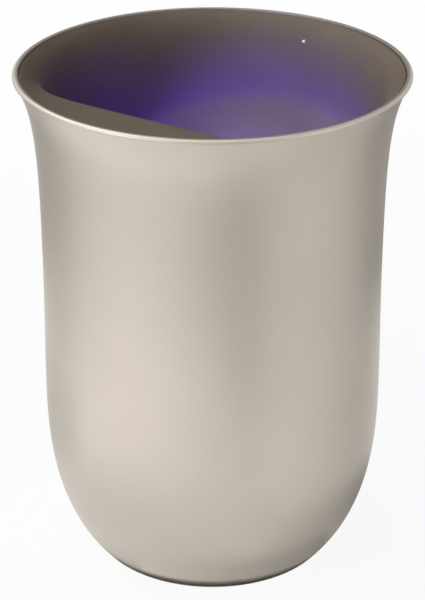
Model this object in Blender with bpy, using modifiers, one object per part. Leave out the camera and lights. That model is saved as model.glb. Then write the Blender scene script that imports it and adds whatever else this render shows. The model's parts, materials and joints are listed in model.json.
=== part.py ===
"""Cup-shaped ultraviolet cleaning and charging dock for a phone.

A turned shell holds a moulded liner. The liner has a sloping shelf at the
front (-Y), a tilted rest for the phone and a slot at the foot of the rest.
The origin is the centre of the foot, +Z is up.
"""
import math

import bmesh
import bpy
from mathutils import Matrix, Vector

MM = 0.001

# Outline of the turned shell
HEIGHT = 182 * MM
RIM_RADIUS = 68 * MM
WAIST_RADIUS = 60 * MM
WAIST_DROP = 70 * MM
BELLY_RADIUS = 60.5 * MM
BELLY_HEIGHT = 64 * MM
BASE_RADIUS = 42.8 * MM
BOWL_EXPONENT = 2.55
FLARE_LENGTH = 14 * MM
SHELL_WALL = 1.2 * MM
BEAD_HEIGHT = 1.5 * MM
BEAD_STEP = 0.3 * MM
EDGE_ROUND = 0.4 * MM
REBATE_DEPTH = 2 * MM
LIP_WIDTH = 2 * MM
SHELL_SEGMENTS = 40

# Base opening of the shell
SHELL_LIFT = 0.6 * MM
COVER_SEAT_RADIUS = 40.5 * MM
COVER_SEAT_TOP = 2.4 * MM
BASE_HOLE_RADIUS = 36 * MM
BASE_FLANGE_TOP = 4.4 * MM

# Fits
FIT = 0.3 * MM
OVERRUN = 1 * MM
MERGE = 0.003 * MM

# Liner
LINER_WALL = 1.6 * MM
LINER_DROP = 0.6 * MM
LINER_GAP = 2.1 * MM
LINER_SWEEP = 3 * MM
FLANGE_CHAMFER = 0.35 * MM
FLANGE_THICKNESS = 1.1 * MM
SHELF_DROP = 7 * MM
SHELF_EDGE = 37 * MM
SHELF_EDGE_ROUND = 0.7 * MM
FRONT_WALL_FOOT = 31 * MM
REST_LEAN = math.radians(15.7)
REST_FOOT = -15 * MM
FLOOR_HEIGHT = 33 * MM
FLOOR_FILLET = 3 * MM
SLOT_HALF_WIDTH = 41 * MM
SLOT_SIDE_LEAN = math.radians(7)
SHOULDER_DROP = 58 * MM
SHOULDER_RISE = 30 * MM
SHOULDER_DEPTH = 48 * MM
SHOULDER_SPREAD = 20 * MM
BASIN_BLEND = 8
EDGE_BLEND = 12
SWEEP_LEAN = 1.4
LINER_SEGMENTS = 36

# Window for the lamps, in the front wall under the shelf
WINDOW_DROP = 36 * MM
WINDOW_OPEN_WIDTH = 44 * MM
WINDOW_OPEN_TALL = 20 * MM
WINDOW_LAP = 3 * MM
WINDOW_THICKNESS = 1.5 * MM
LAMP_COUNT = 4
LAMP_PITCH = 11 * MM
LAMP_SIZE = 3.5 * MM
LAMP_THICKNESS = 1.5 * MM
LENS_RADIUS = 1.4 * MM
LENS_DEPTH = 1.1 * MM
LAMP_BOARD_THICKNESS = 1.2 * MM
BRACKET_WIDTH = 60 * MM
BRACKET_TALL = 40 * MM
BRACKET_DEPTH = 5.9 * MM
BRACKET_FLOOR = 1.5 * MM
BRACKET_MARGIN = 3.5 * MM
WINDOW_BOSS_RADIUS = 2.7 * MM

# Charging coil behind the rest
COIL_DROP = 82 * MM
COIL_INNER_RADIUS = 9 * MM
COIL_OUTER_RADIUS = 21 * MM
COIL_THICKNESS = 1.2 * MM
FERRITE_RADIUS = 24 * MM
FERRITE_THICKNESS = 1 * MM
CARRIER_SIZE = 58 * MM
CARRIER_THICKNESS = 2 * MM
CARRIER_MARGIN = 4 * MM

# Pilot light near the rim at the back
PILOT_DROP = 7.5 * MM
PILOT_RADIUS = 0.6 * MM
PILOT_HOLE_RADIUS = 0.85 * MM
PILOT_BOARD_WIDTH = 6 * MM
PILOT_BOARD_TALL = 9 * MM
PILOT_BOARD_THICKNESS = 0.4 * MM
PILOT_LAMP_THICKNESS = 0.4 * MM
PILOT_LAMP_WIDTH = 1.6 * MM

# Chassis and ballast in the bowl
CHASSIS_RIM = 15 * MM
CHASSIS_WALL = 2 * MM
CHASSIS_GAP = 0.5 * MM
CHASSIS_FLOOR = 2 * MM
BALLAST_RADIUS = 38 * MM
BALLAST_THICKNESS = 5 * MM
POST_OFFSET = 17 * MM
POST_RADIUS = 3.4 * MM
POST_TOP = 16.7 * MM
BASE_PILOT_BORE = 1.43 * MM
LINER_POST_X = 28 * MM
LINER_POST_RADIUS = 3.5 * MM
UPRIGHT_X = 9.75 * MM
UPRIGHT_WIDTH = 3.5 * MM
UPRIGHT_DEPTH = 3.2 * MM
UPRIGHT_ROOT = 1.5 * MM
DECK_LIFT = 3.6 * MM
DECK_WEB = 2.5 * MM

# Main board
BOARD_THICKNESS = 1.6 * MM
BOARD_RADIUS = 43.5 * MM
BOARD_TONGUE_HALF = 7.5 * MM
BOARD_TONGUE_REACH = 49.5 * MM
HEADERS = {"coil": (6 * MM, 14 * MM), "uv": (17 * MM, -36 * MM), "pilot": (-16 * MM, 34 * MM),
           "button": (-3 * MM, 38 * MM)}
CHIP_SIZE = 8 * MM
CHIP_TALL = 1.2 * MM
COIL_CHIP_X = 14 * MM
CAPACITOR_RADIUS = 3.2 * MM
CAPACITOR_TALL = 9 * MM
CAPACITORS = ((-30 * MM, 12 * MM), (30 * MM, 12 * MM))

# Power inlet
INLET_WIDTH = 8.9 * MM
INLET_TALL = 3.2 * MM
INLET_LENGTH = 7.4 * MM
INLET_WALL = 0.35 * MM
INLET_DEPTH = 5.9 * MM
INLET_TONGUE = 0.7 * MM
INLET_REACH = 1.5 * MM
BEZEL_WIDTH = 14 * MM
BEZEL_TALL = 7.6 * MM

# Start button and its switch
BUTTON_HEIGHT = 44 * MM
BUTTON_RADIUS = 5 * MM
BUTTON_FLANGE_RADIUS = 6.3 * MM
BUTTON_FLANGE_THICKNESS = 1 * MM
BUTTON_PROUD = 0.8 * MM
BUTTON_DISH = 0.5 * MM
BUTTON_STEM_RADIUS = 1.8 * MM
BUTTON_STEM_LENGTH = 2 * MM
BUTTON_TRAVEL = 0.8 * MM
BUTTON_CLEARANCE = 0.1 * MM
SWITCH_SIZE = 6 * MM
SWITCH_THICKNESS = 2.6 * MM
SWITCH_PLUNGER = 1 * MM
SWITCH_BOARD_WIDTH = 24 * MM
SWITCH_BOARD_TALL = 14 * MM
SWITCH_BOARD_THICKNESS = 1.2 * MM

# Foot and base cover
FOOT_INNER_RADIUS = 29.8 * MM
FOOT_OUTER_RADIUS = 34.7 * MM
FOOT_THICKNESS = 1.8 * MM
COVER_LIFT = 0.9 * MM

# Screws: head radius, head height, shank radius
BASE_SCREW = (2.7 * MM, 1.8 * MM, 1.25 * MM)
SMALL_SCREW = (1.9 * MM, 1.2 * MM, 0.8 * MM)
SMALL_BORE = 1.1 * MM
BASE_BORE = 1.55 * MM
BASE_SCREW_LENGTH = 7 * MM
BASE_PILOT_DEPTH = 6 * MM
BOARD_SCREW_LENGTH = 6 * MM
BOARD_PILOT_DEPTH = 5 * MM
DECK_SCREW_LENGTH = 8 * MM
SCREW_SEGMENTS = 8

# Leads
LEAD_RADIUS = 0.6 * MM
PILOT_LEAD_RADIUS = 0.4 * MM
PLUG_SIZE = (5 * MM, 4 * MM, 3.6 * MM)
LEAD_BEND = 5 * MM
COIL_LEAD_X = 6 * MM
COIL_LEAD_TURNS = (43.5 * MM, 32 * MM)
UV_LEAD_X = 17 * MM
PILOT_LEAD_DROPS = (34 * MM, 24 * MM)

# Rest pad on the floor of the slot
PAD_LENGTH = 66 * MM
PAD_THICKNESS = 1.6 * MM
PAD_DEPTH = 9 * MM
PAD_CORNER = 4.2 * MM

# Heights that follow the rim
WAIST_HEIGHT = HEIGHT - WAIST_DROP
SHOULDER_HEIGHT = HEIGHT - SHOULDER_DROP
WINDOW_HEIGHT = HEIGHT - WINDOW_DROP
COIL_HEIGHT = HEIGHT - COIL_DROP


def clear_scene():
    for item in list(bpy.data.objects):
        bpy.data.objects.remove(item, do_unlink=True)


def collection(name):
    group = bpy.data.collections.new(name)
    bpy.context.scene.collection.children.link(group)
    return group


clear_scene()
PART = collection("phone_uv_cup")
CUTTERS = collection("cutters")


def material(name, colour, roughness, metallic=0.0, glow=None):
    mat = bpy.data.materials.new(name)
    mat.use_nodes = True
    shader = mat.node_tree.nodes["Principled BSDF"]
    shader.inputs["Base Color"].default_value = (*colour, 1.0)
    shader.inputs["Roughness"].default_value = roughness
    shader.inputs["Metallic"].default_value = metallic
    if glow:
        shader.inputs["Emission Color"].default_value = (*glow, 1.0)
        shader.inputs["Emission Strength"].default_value = 1.0
    return mat


CHAMPAGNE = material("champagne_metal", (0.70, 0.65, 0.58), 0.38, 0.6)
TAUPE = material("taupe_plastic", (0.17, 0.14, 0.125), 0.55)
DARK = material("dark_plastic", (0.035, 0.033, 0.032), 0.5)
RUBBER = material("foot_rubber", (0.03, 0.03, 0.03), 0.8)
SILICONE = material("rest_silicone", (0.08, 0.07, 0.07), 0.7)
GLASS = material("window_glass", (0.85, 0.88, 0.95), 0.05)
LAMP = material("lamp_body", (0.8, 0.78, 0.7), 0.4, 0.0, (0.3, 0.12, 1.0))
PILOT = material("pilot_lens", (0.95, 0.95, 1.0), 0.3, 0.0, (0.9, 0.85, 1.0))
BOARD = material("board_green", (0.02, 0.11, 0.06), 0.45)
STEEL = material("zinc_steel", (0.55, 0.56, 0.58), 0.35, 1.0)
COPPER = material("coil_copper", (0.72, 0.35, 0.18), 0.4, 1.0)
FERRITE = material("ferrite", (0.07, 0.07, 0.08), 0.6)
ALUMINIUM = material("aluminium", (0.6, 0.61, 0.62), 0.4, 1.0)
WIRE = material("lead_sleeve", (0.12, 0.12, 0.13), 0.55)


def finish(item, mat=None):
    """Smooth the round faces and give the piece its material."""
    if mat:
        item.data.materials.clear()
        item.data.materials.append(mat)
    item.data.shade_smooth()
    item.data.set_sharp_from_angle(angle=math.radians(35))
    return item


def add_object(name, mesh, cutter=False, parent=None):
    item = bpy.data.objects.new(name, mesh)
    (CUTTERS if cutter else PART).objects.link(item)
    if cutter:
        item.hide_render = True
        item.display_type = "WIRE"
    item.parent = parent
    return item


def box(name, low, high, mat=None, cutter=False, parent=None):
    """Box between two corners."""
    mesh = bpy.data.meshes.new(name)
    shape = bmesh.new()
    size = [b - a for a, b in zip(low, high)]
    centre = [(a + b) / 2 for a, b in zip(low, high)]
    place = Matrix.Translation(centre) @ Matrix.Diagonal((*size, 1))
    bmesh.ops.create_cube(shape, size=1, matrix=place)
    shape.to_mesh(mesh)
    shape.free()
    item = add_object(name, mesh, cutter, parent)
    return item if cutter else finish(item, mat)


def rod(name, radius, low, high, mat=None, cutter=False, parent=None, at=(0, 0), segments=12):
    """Round bar along local Z between two heights."""
    mesh = bpy.data.meshes.new(name)
    shape = bmesh.new()
    place = Matrix.Translation((at[0], at[1], (low + high) / 2))
    bmesh.ops.create_cone(shape, cap_ends=True, segments=segments, radius1=radius,
                          radius2=radius, depth=high - low, matrix=place)
    shape.to_mesh(mesh)
    shape.free()
    item = add_object(name, mesh, cutter, parent)
    return item if cutter else finish(item, mat)


def turned(name, profile, mat=None, segments=SHELL_SEGMENTS, cutter=False, parent=None):
    """Turn an outline of (radius, height) about local Z.

    The outline runs down its outer side first. It closes on itself unless
    both of its ends lie on the axis.
    """
    mesh = bpy.data.meshes.new(name)
    count = len(profile)
    edges = [(i, i + 1) for i in range(count - 1)]
    if profile[0][0] > 0:
        edges.append((count - 1, 0))
    mesh.from_pydata([(r, 0, z) for r, z in profile], edges, [])
    item = add_object(name, mesh, cutter, parent)
    screw = item.modifiers.new("turn", "SCREW")
    screw.axis = "Z"
    screw.steps = segments
    screw.render_steps = segments
    screw.use_merge_vertices = True
    screw.merge_threshold = 3 * MERGE
    return baked(item, mat, cutter)


def baked(item, mat=None, cutter=False):
    """Apply the modifiers, so that the piece is a plain mesh."""
    bpy.context.view_layer.update()
    shape = item.evaluated_get(bpy.context.evaluated_depsgraph_get())
    mesh = bpy.data.meshes.new_from_object(shape)
    item.modifiers.clear()
    item.data = mesh
    return item if cutter else finish(item, mat)


def outline_points(half_width, half_height, radius, steps=6):
    """Corner-rounded rectangle about the origin, anticlockwise."""
    points = []
    corners = ((1, 1, 0), (-1, 1, 90), (-1, -1, 180), (1, -1, 270))
    for sx, sy, start in corners:
        for k in range(steps + 1):
            turn = math.radians(start + 90 * k / steps)
            points.append((sx * (half_width - radius) + radius * math.cos(turn),
                           sy * (half_height - radius) + radius * math.sin(turn)))
    return points


def plate(name, outlines, low, high, mat=None, cutter=False, parent=None):
    """Flat plate on the XY plane from closed outlines, holes included."""
    curve = bpy.data.curves.new(name, "CURVE")
    curve.dimensions = "2D"
    curve.fill_mode = "BOTH"
    curve.extrude = (high - low) / 2
    for points in outlines:
        spline = curve.splines.new("POLY")
        spline.points.add(len(points) - 1)
        for target, (x, y) in zip(spline.points, points):
            target.co = (x, y, 0, 1)
        spline.use_cyclic_u = True
    source = bpy.data.objects.new(name + "_curve", curve)
    CUTTERS.objects.link(source)
    bpy.context.view_layer.update()
    mesh = bpy.data.meshes.new_from_object(
        source.evaluated_get(bpy.context.evaluated_depsgraph_get()))
    bpy.data.objects.remove(source)
    shape = bmesh.new()
    shape.from_mesh(mesh)
    bmesh.ops.remove_doubles(shape, verts=shape.verts, dist=MERGE)
    bmesh.ops.translate(shape, verts=shape.verts, vec=(0, 0, (low + high) / 2))
    shape.to_mesh(mesh)
    shape.free()
    item = add_object(name, mesh, cutter, parent)
    return item if cutter else finish(item, mat)


def circle_points(radius, at=(0, 0), segments=12):
    """Circle as a closed outline."""
    turns = [2 * math.pi * k / segments for k in range(segments)]
    return [(at[0] + radius * math.cos(a), at[1] + radius * math.sin(a)) for a in turns]


def combine(item, tools, operation):
    """Boolean the piece with each tool in turn."""
    for tool in tools:
        step = item.modifiers.new(tool.name, "BOOLEAN")
        step.operation = operation
        step.solver = "EXACT"
        step.object = tool
    mat = item.data.materials[0] if item.data.materials else None
    return baked(item, mat)


def cut(item, tools):
    return combine(item, tools, "DIFFERENCE")


def join(item, tools):
    return combine(item, tools, "UNION")


def frame(name, place, tilt):
    """Empty whose local Z points out of a tilted wall; children are set on it."""
    item = bpy.data.objects.new(name, None)
    PART.objects.link(item)
    item.location = place
    item.rotation_euler = (tilt, 0, 0)
    return item


# The turned outline


def shell_radius(z):
    """Outer radius of the shell at a height."""
    share = 1 - (BASE_RADIUS / BELLY_RADIUS) ** BOWL_EXPONENT
    reach = BELLY_HEIGHT / share ** (1 / BOWL_EXPONENT)
    drop = max(0, BELLY_HEIGHT - z) / reach
    bowl = BELLY_RADIUS * (1 - drop ** BOWL_EXPONENT) ** (1 / BOWL_EXPONENT)
    rise = min(1, max(0, (z - BELLY_HEIGHT) / (WAIST_HEIGHT - BELLY_HEIGHT)))
    waist = (WAIST_RADIUS - BELLY_RADIUS) * rise * rise * (3 - 2 * rise)
    flare = (RIM_RADIUS - WAIST_RADIUS) * math.exp((z - HEIGHT) / FLARE_LENGTH)
    return bowl + waist + flare


def inset(radius_at, z, depth):
    """Radius a given depth under a turned surface, square to it."""
    step = FIT
    slope = (radius_at(z + step) - radius_at(z - step)) / (2 * step)
    return radius_at(z) - depth * math.sqrt(1 + slope * slope)


def shell_inside(z):
    return inset(shell_radius, z, SHELL_WALL)


def spread(start, end, count, lean=1.0):
    """Heights from start to end, closer together at the start when lean > 1."""
    return [start + (end - start) * (k / count) ** lean for k in range(count + 1)]


def shell_outline():
    """Lip, bead, flared side and bowl, then the seat of the cover and the inside."""
    crease = HEIGHT - BEAD_HEIGHT
    outer = [(RIM_RADIUS - LIP_WIDTH, HEIGHT - EDGE_ROUND / 2),
             (RIM_RADIUS - LIP_WIDTH + EDGE_ROUND / 2, HEIGHT),
             (RIM_RADIUS - EDGE_ROUND, HEIGHT),
             (RIM_RADIUS, HEIGHT - EDGE_ROUND),
             (shell_radius(crease), crease)]
    outer += [(shell_radius(z) - BEAD_STEP * math.exp((z - crease) / BEAD_HEIGHT), z)
              for z in spread(crease - BEAD_STEP, BELLY_HEIGHT, 8, 1.8)]
    outer += [(shell_radius(z), z)
              for z in reversed(spread(SHELL_LIFT + EDGE_ROUND, BELLY_HEIGHT, 8, 1.4)[:-1])]
    base = [(BASE_RADIUS - EDGE_ROUND, SHELL_LIFT), (COVER_SEAT_RADIUS, SHELL_LIFT),
            (COVER_SEAT_RADIUS, COVER_SEAT_TOP), (BASE_HOLE_RADIUS, COVER_SEAT_TOP),
            (BASE_HOLE_RADIUS, BASE_FLANGE_TOP)]
    inner = [(shell_inside(z), z) for z in spread(BASE_FLANGE_TOP, BELLY_HEIGHT, 6, 1.5)]
    ledge = HEIGHT - REBATE_DEPTH
    inner += [(shell_inside(z), z) for z in reversed(spread(ledge, BELLY_HEIGHT, 5, 1.8)[:-1])]
    inner += [(RIM_RADIUS - LIP_WIDTH, ledge)]
    return outer + base + inner


# The moulded liner


def liner_radius(z):
    """Radius of the liner's round wall inside: along the shell, swept out to its flange."""
    depth = SHELL_WALL + LINER_GAP + LINER_WALL
    top = HEIGHT - LINER_DROP
    flange = RIM_RADIUS - LIP_WIDTH - FIT - FLANGE_CHAMFER
    sweep = (flange - inset(shell_radius, top, depth)) * math.exp((z - top) / LINER_SWEEP)
    return inset(shell_radius, z, depth) + sweep


def liner_outer_radius(z):
    step = FIT
    slope = (liner_radius(z + step) - liner_radius(z - step)) / (2 * step)
    return min(liner_radius(z) + LINER_WALL * math.sqrt(1 + slope * slope),
               shell_inside(z) - FIT)


def shelf_edge_height():
    return HEIGHT - SHELF_DROP


def front_wall(z):
    """Distance of the front wall in front of the axis."""
    edge = shelf_edge_height()
    share = (edge - z) / (edge - FLOOR_HEIGHT)
    rounding = SHELF_EDGE_ROUND * math.exp(-max(0, edge - z) / SHELF_EDGE_ROUND)
    return SHELF_EDGE - (SHELF_EDGE - FRONT_WALL_FOOT) * share + rounding


def rest_plane(z):
    """Place of the rest's face along Y."""
    return REST_FOOT + (z - FLOOR_HEIGHT) * math.tan(REST_LEAN)


def shoulder(z, depth):
    """How far a wall of the slot has swept outwards into the basin."""
    over = max(0, z - SHOULDER_HEIGHT) / SHOULDER_RISE
    return depth * over * over


def back_wall(z):
    """The rest, swept back over a shoulder into the basin."""
    return rest_plane(z) + shoulder(z, SHOULDER_DEPTH)


def side_wall(z):
    straight = SLOT_HALF_WIDTH + (z - FLOOR_HEIGHT) * math.tan(SLOT_SIDE_LEAN)
    return straight + shoulder(z, SHOULDER_SPREAD)


def soft_least(values, power):
    """Least of some lengths, with the corner between them rounded."""
    least = min(values)
    return least * sum((least / v) ** power for v in values) ** (-1 / power)


def section(radius, front, back, side):
    """Outline of the cavity at one height: a circle cut by flat walls."""
    reach_back = min(back, radius)
    reach_front = min(front, radius)
    centre = (reach_back - reach_front) / 2
    tall = (reach_back + reach_front) / 2
    wide = min(side, radius)
    points = []
    for k in range(LINER_SEGMENTS):
        turn = 2 * math.pi * (k + 0.5) / LINER_SEGMENTS
        ray = Vector((wide * math.cos(turn), tall * math.sin(turn))).normalized()
        along = centre * ray.y
        to_circle = -along + math.sqrt(radius ** 2 - (centre * ray.x) ** 2)
        limits = [to_circle, side / abs(ray.x)]
        if ray.y > 0:
            limits.append((back - centre) / ray.y)
        far = soft_least(limits, BASIN_BLEND)
        if ray.y < 0:
            far = soft_least([far, (front + centre) / -ray.y], EDGE_BLEND)
        points.append((far * ray.x, centre + far * ray.y))
    return points


def wall_section(z, thickness=0.0):
    radius = liner_outer_radius(z) if thickness else liner_radius(z)
    return section(radius, front_wall(z) + thickness,
                   back_wall(z) + thickness / math.cos(REST_LEAN), side_wall(z) + thickness)


def swept_rings(rim_radius, top, bottom, thickness, radius_at, count):
    """Rings from the rim down to the shelf's edge: a shelf in front, the round wall behind."""
    rim = section(rim_radius, 2 * rim_radius, 2 * rim_radius, 2 * rim_radius)
    edge = wall_section(bottom, thickness)
    rings = []
    for k in range(1, count):
        share = k / count
        z = top + (bottom - top) * share
        ring = []
        for a, b in zip(rim, edge):
            ray = Vector(a).normalized().lerp(Vector(b).normalized(), share).normalized()
            drawn_in = (radius_at(bottom) - Vector(b).length) * share ** SWEEP_LEAN
            ring.append((*(ray * (radius_at(z) - drawn_in)), z))
        rings.append(ring)
    return rings


def flat_ring(radius, z):
    points = section(radius, 2 * radius, 2 * radius, 2 * radius)
    return [(x, y, z) for x, y in points]


def shrunk(ring, amount, z):
    """Ring drawn in towards its own centre line, for the fillet at the floor."""
    middle = sum((Vector(p[:2]) for p in ring), Vector((0, 0))) / len(ring)
    tall = max(p[1] for p in ring) - middle.y
    drawn = []
    for p in ring:
        away = Vector(p[:2]) - middle
        scale = (1 - amount / max(abs(q[0]) for q in ring), 1 - amount / tall)
        drawn.append((middle.x + away.x * scale[0], middle.y + away.y * scale[1], z))
    return drawn


def cavity_heights():
    edge = shelf_edge_height()
    drops = [0, SHELF_EDGE_ROUND, 3 * SHELF_EDGE_ROUND]
    upper = [edge - d for d in drops]
    basin = spread(upper[-1] - 3 * SHELF_EDGE_ROUND, SHOULDER_HEIGHT, 6)
    slot = spread(SHOULDER_HEIGHT, FLOOR_HEIGHT + FLOOR_FILLET, 3)[1:]
    return upper + basin + slot


def liner_mesh(name):
    """Loft the liner: down the inside, round the floor, up the outside."""
    top = HEIGHT - LINER_DROP
    flange = RIM_RADIUS - LIP_WIDTH - FIT
    edge = shelf_edge_height()
    inside = [flat_ring(flange, top - FLANGE_CHAMFER), flat_ring(flange - FLANGE_CHAMFER, top)]
    inside += swept_rings(flange - FLANGE_CHAMFER, top, edge, 0.0, liner_radius, 5)
    heights = cavity_heights()
    inside += [[(x, y, z) for x, y in wall_section(z)] for z in heights]
    corner = FLOOR_FILLET * (1 - math.sqrt(0.5))
    inside.append(shrunk(inside[-1], corner, FLOOR_HEIGHT + corner))
    inside.append(shrunk(inside[-2], FLOOR_FILLET, FLOOR_HEIGHT))
    under = top - FLANGE_CHAMFER - FLANGE_THICKNESS + FIT
    neck = shell_inside(under - FIT) - FIT
    outside = [flat_ring(flange, under), flat_ring(neck, under)]
    low_edge = edge - LINER_WALL
    outside += swept_rings(neck, under, low_edge, LINER_WALL, liner_outer_radius, 3)
    outer_heights = [low_edge] + spread(low_edge - 3 * SHELF_EDGE_ROUND, SHOULDER_HEIGHT, 4)
    outer_heights += spread(SHOULDER_HEIGHT, FLOOR_HEIGHT + FLOOR_FILLET, 3)[1:]
    outside += [[(x, y, z) for x, y in wall_section(z, LINER_WALL)] for z in outer_heights]
    outside.append(shrunk(outside[-1], FLOOR_FILLET, FLOOR_HEIGHT - LINER_WALL))
    rings = list(reversed(outside)) + inside
    shape = bmesh.new()
    rows = [[shape.verts.new(p) for p in ring] for ring in rings]
    for lower, upper in zip(rows, rows[1:]):
        for k in range(LINER_SEGMENTS):
            n = (k + 1) % LINER_SEGMENTS
            shape.faces.new((lower[k], lower[n], upper[n], upper[k]))
    shape.faces.new(rows[-1])
    shape.faces.new(reversed(rows[0]))
    bmesh.ops.recalc_face_normals(shape, faces=shape.faces)
    mesh = bpy.data.meshes.new(name)
    shape.to_mesh(mesh)
    shape.free()
    return mesh


# Places on the tilted walls


def rest_frame():
    """Back of the rest at the coil's height; local Z leaves the wall."""
    back = rest_plane(COIL_HEIGHT) + LINER_WALL / math.cos(REST_LEAN)
    return frame("rest_frame", (0, back, COIL_HEIGHT), -math.pi / 2 - REST_LEAN)


def window_lean():
    drop = shelf_edge_height() - FLOOR_HEIGHT
    return math.atan((SHELF_EDGE - FRONT_WALL_FOOT) / drop)


def window_frame():
    """Hidden side of the front wall at the window; local Z leaves the wall."""
    front = -(front_wall(WINDOW_HEIGHT) + LINER_WALL)
    return frame("window_frame", (0, front, WINDOW_HEIGHT), math.pi / 2 + window_lean())


def pilot_frame():
    """Between the liner and the flare behind it; local Z leaves the liner."""
    z = pilot_board_height()
    return frame("pilot_frame", (0, pilot_board_back(z), z), -math.pi / 2 - pilot_lean())


def pilot_board_height():
    return HEIGHT - PILOT_DROP - PILOT_BOARD_TALL / 2


def pilot_lean():
    z = pilot_board_height()
    return math.atan((shell_inside(z + FIT) - shell_inside(z - FIT)) / (2 * FIT))


def pilot_board_back(z):
    """Place along Y of the pilot board's back face, which lies along the shell."""
    middle = pilot_board_height()
    reach = PILOT_BOARD_TALL / 2
    slope = math.tan(pilot_lean())
    touch = min(shell_inside(middle + step) - step * slope for step in (-reach, 0, reach))
    return touch - FIT / math.cos(pilot_lean()) + (z - middle) * slope


REST = rest_frame()
WINDOW = window_frame()
PILOT_PLACE = pilot_frame()
bpy.context.view_layer.update()


def corner_places(half_x, half_y):
    return [(sx * half_x, sy * half_y) for sx in (-1, 1) for sy in (-1, 1)]


CARRIER_HOLES = corner_places(CARRIER_SIZE / 2 - CARRIER_MARGIN, CARRIER_SIZE / 2 - CARRIER_MARGIN)
BRACKET_HOLES = corner_places(BRACKET_WIDTH / 2 - BRACKET_MARGIN, BRACKET_TALL / 2 - BRACKET_MARGIN)
SLOT_MIDDLE = (REST_FOOT - FRONT_WALL_FOOT) / 2
DECK_HOLES = [(sx * LINER_POST_X, SLOT_MIDDLE) for sx in (-1, 1)]
POSTS = corner_places(POST_OFFSET, POST_OFFSET)

COIL_LIFT = 2 * FIT
FERRITE_LIFT = COIL_LIFT + COIL_THICKNESS + FIT
CARRIER_LIFT = FERRITE_LIFT + FERRITE_THICKNESS + FIT
WINDOW_LIFT = FIT
BRACKET_LIFT = WINDOW_LIFT + WINDOW_THICKNESS + FIT
LAMP_BOARD_TOP = BRACKET_LIFT + BRACKET_DEPTH - BRACKET_FLOOR - FIT
LAMP_BOARD_LIFT = LAMP_BOARD_TOP - LAMP_BOARD_THICKNESS
LAMP_LIFT = LAMP_BOARD_LIFT - FIT - LAMP_THICKNESS


def build_shell():
    shell = turned("outer_shell", shell_outline(), CHAMPAGNE)
    inlet = bezel_solid("inlet_opening", BEZEL_WIDTH / 2, BEZEL_TALL / 2, cutter=True)
    button = rod("button_opening", BUTTON_RADIUS + FIT, BELLY_RADIUS / 2,
                 BELLY_RADIUS + OVERRUN, cutter=True, segments=24)
    button.rotation_euler = (-math.pi / 2, 0, 0)
    button.location = (0, 0, BUTTON_HEIGHT)
    return cut(shell, [inlet, button])


def build_liner():
    liner = add_object("inner_liner", liner_mesh("inner_liner"))
    finish(liner, TAUPE)
    sunk = LINER_WALL / 2
    bosses = [rod("rest_boss", POST_RADIUS, -sunk, CARRIER_LIFT - FIT, cutter=True,
                  parent=REST, at=p) for p in CARRIER_HOLES]
    bosses += [rod("window_boss", WINDOW_BOSS_RADIUS, -sunk, BRACKET_LIFT - FIT, cutter=True,
                   parent=WINDOW, at=p) for p in BRACKET_HOLES]
    bosses += [rod("deck_boss", LINER_POST_RADIUS, deck_boss_foot(), FLOOR_HEIGHT - sunk,
                   cutter=True, at=p) for p in DECK_HOLES]
    join(liner, bosses)
    holes = [rod("rest_pilot", SMALL_BORE, 0, CARRIER_LIFT, cutter=True, parent=REST, at=p,
                 segments=8) for p in CARRIER_HOLES]
    holes += [rod("window_pilot", SMALL_BORE, -sunk / 2, BRACKET_LIFT, cutter=True,
                  parent=WINDOW, at=p, segments=8) for p in BRACKET_HOLES]
    holes += [rod("deck_pilot", BASE_BORE, deck_boss_foot() - OVERRUN, FLOOR_HEIGHT - 2 * LINER_WALL,
                  cutter=True, at=p, segments=8) for p in DECK_HOLES]
    opening = plate("window_opening", [outline_points(WINDOW_OPEN_WIDTH / 2, WINDOW_OPEN_TALL / 2,
                                                      2 * LINER_WALL, 4)],
                    -3 * LINER_WALL, FIT, cutter=True, parent=WINDOW)
    face = liner_radius(HEIGHT - PILOT_DROP)
    pilot = rod("pilot_hole", PILOT_HOLE_RADIUS, face - LINER_WALL, face + 3 * LINER_WALL,
                cutter=True, segments=12)
    pilot.rotation_euler = (-math.pi / 2, 0, 0)
    pilot.location = (0, 0, HEIGHT - PILOT_DROP)
    return cut(liner, holes + [opening, pilot])


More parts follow.
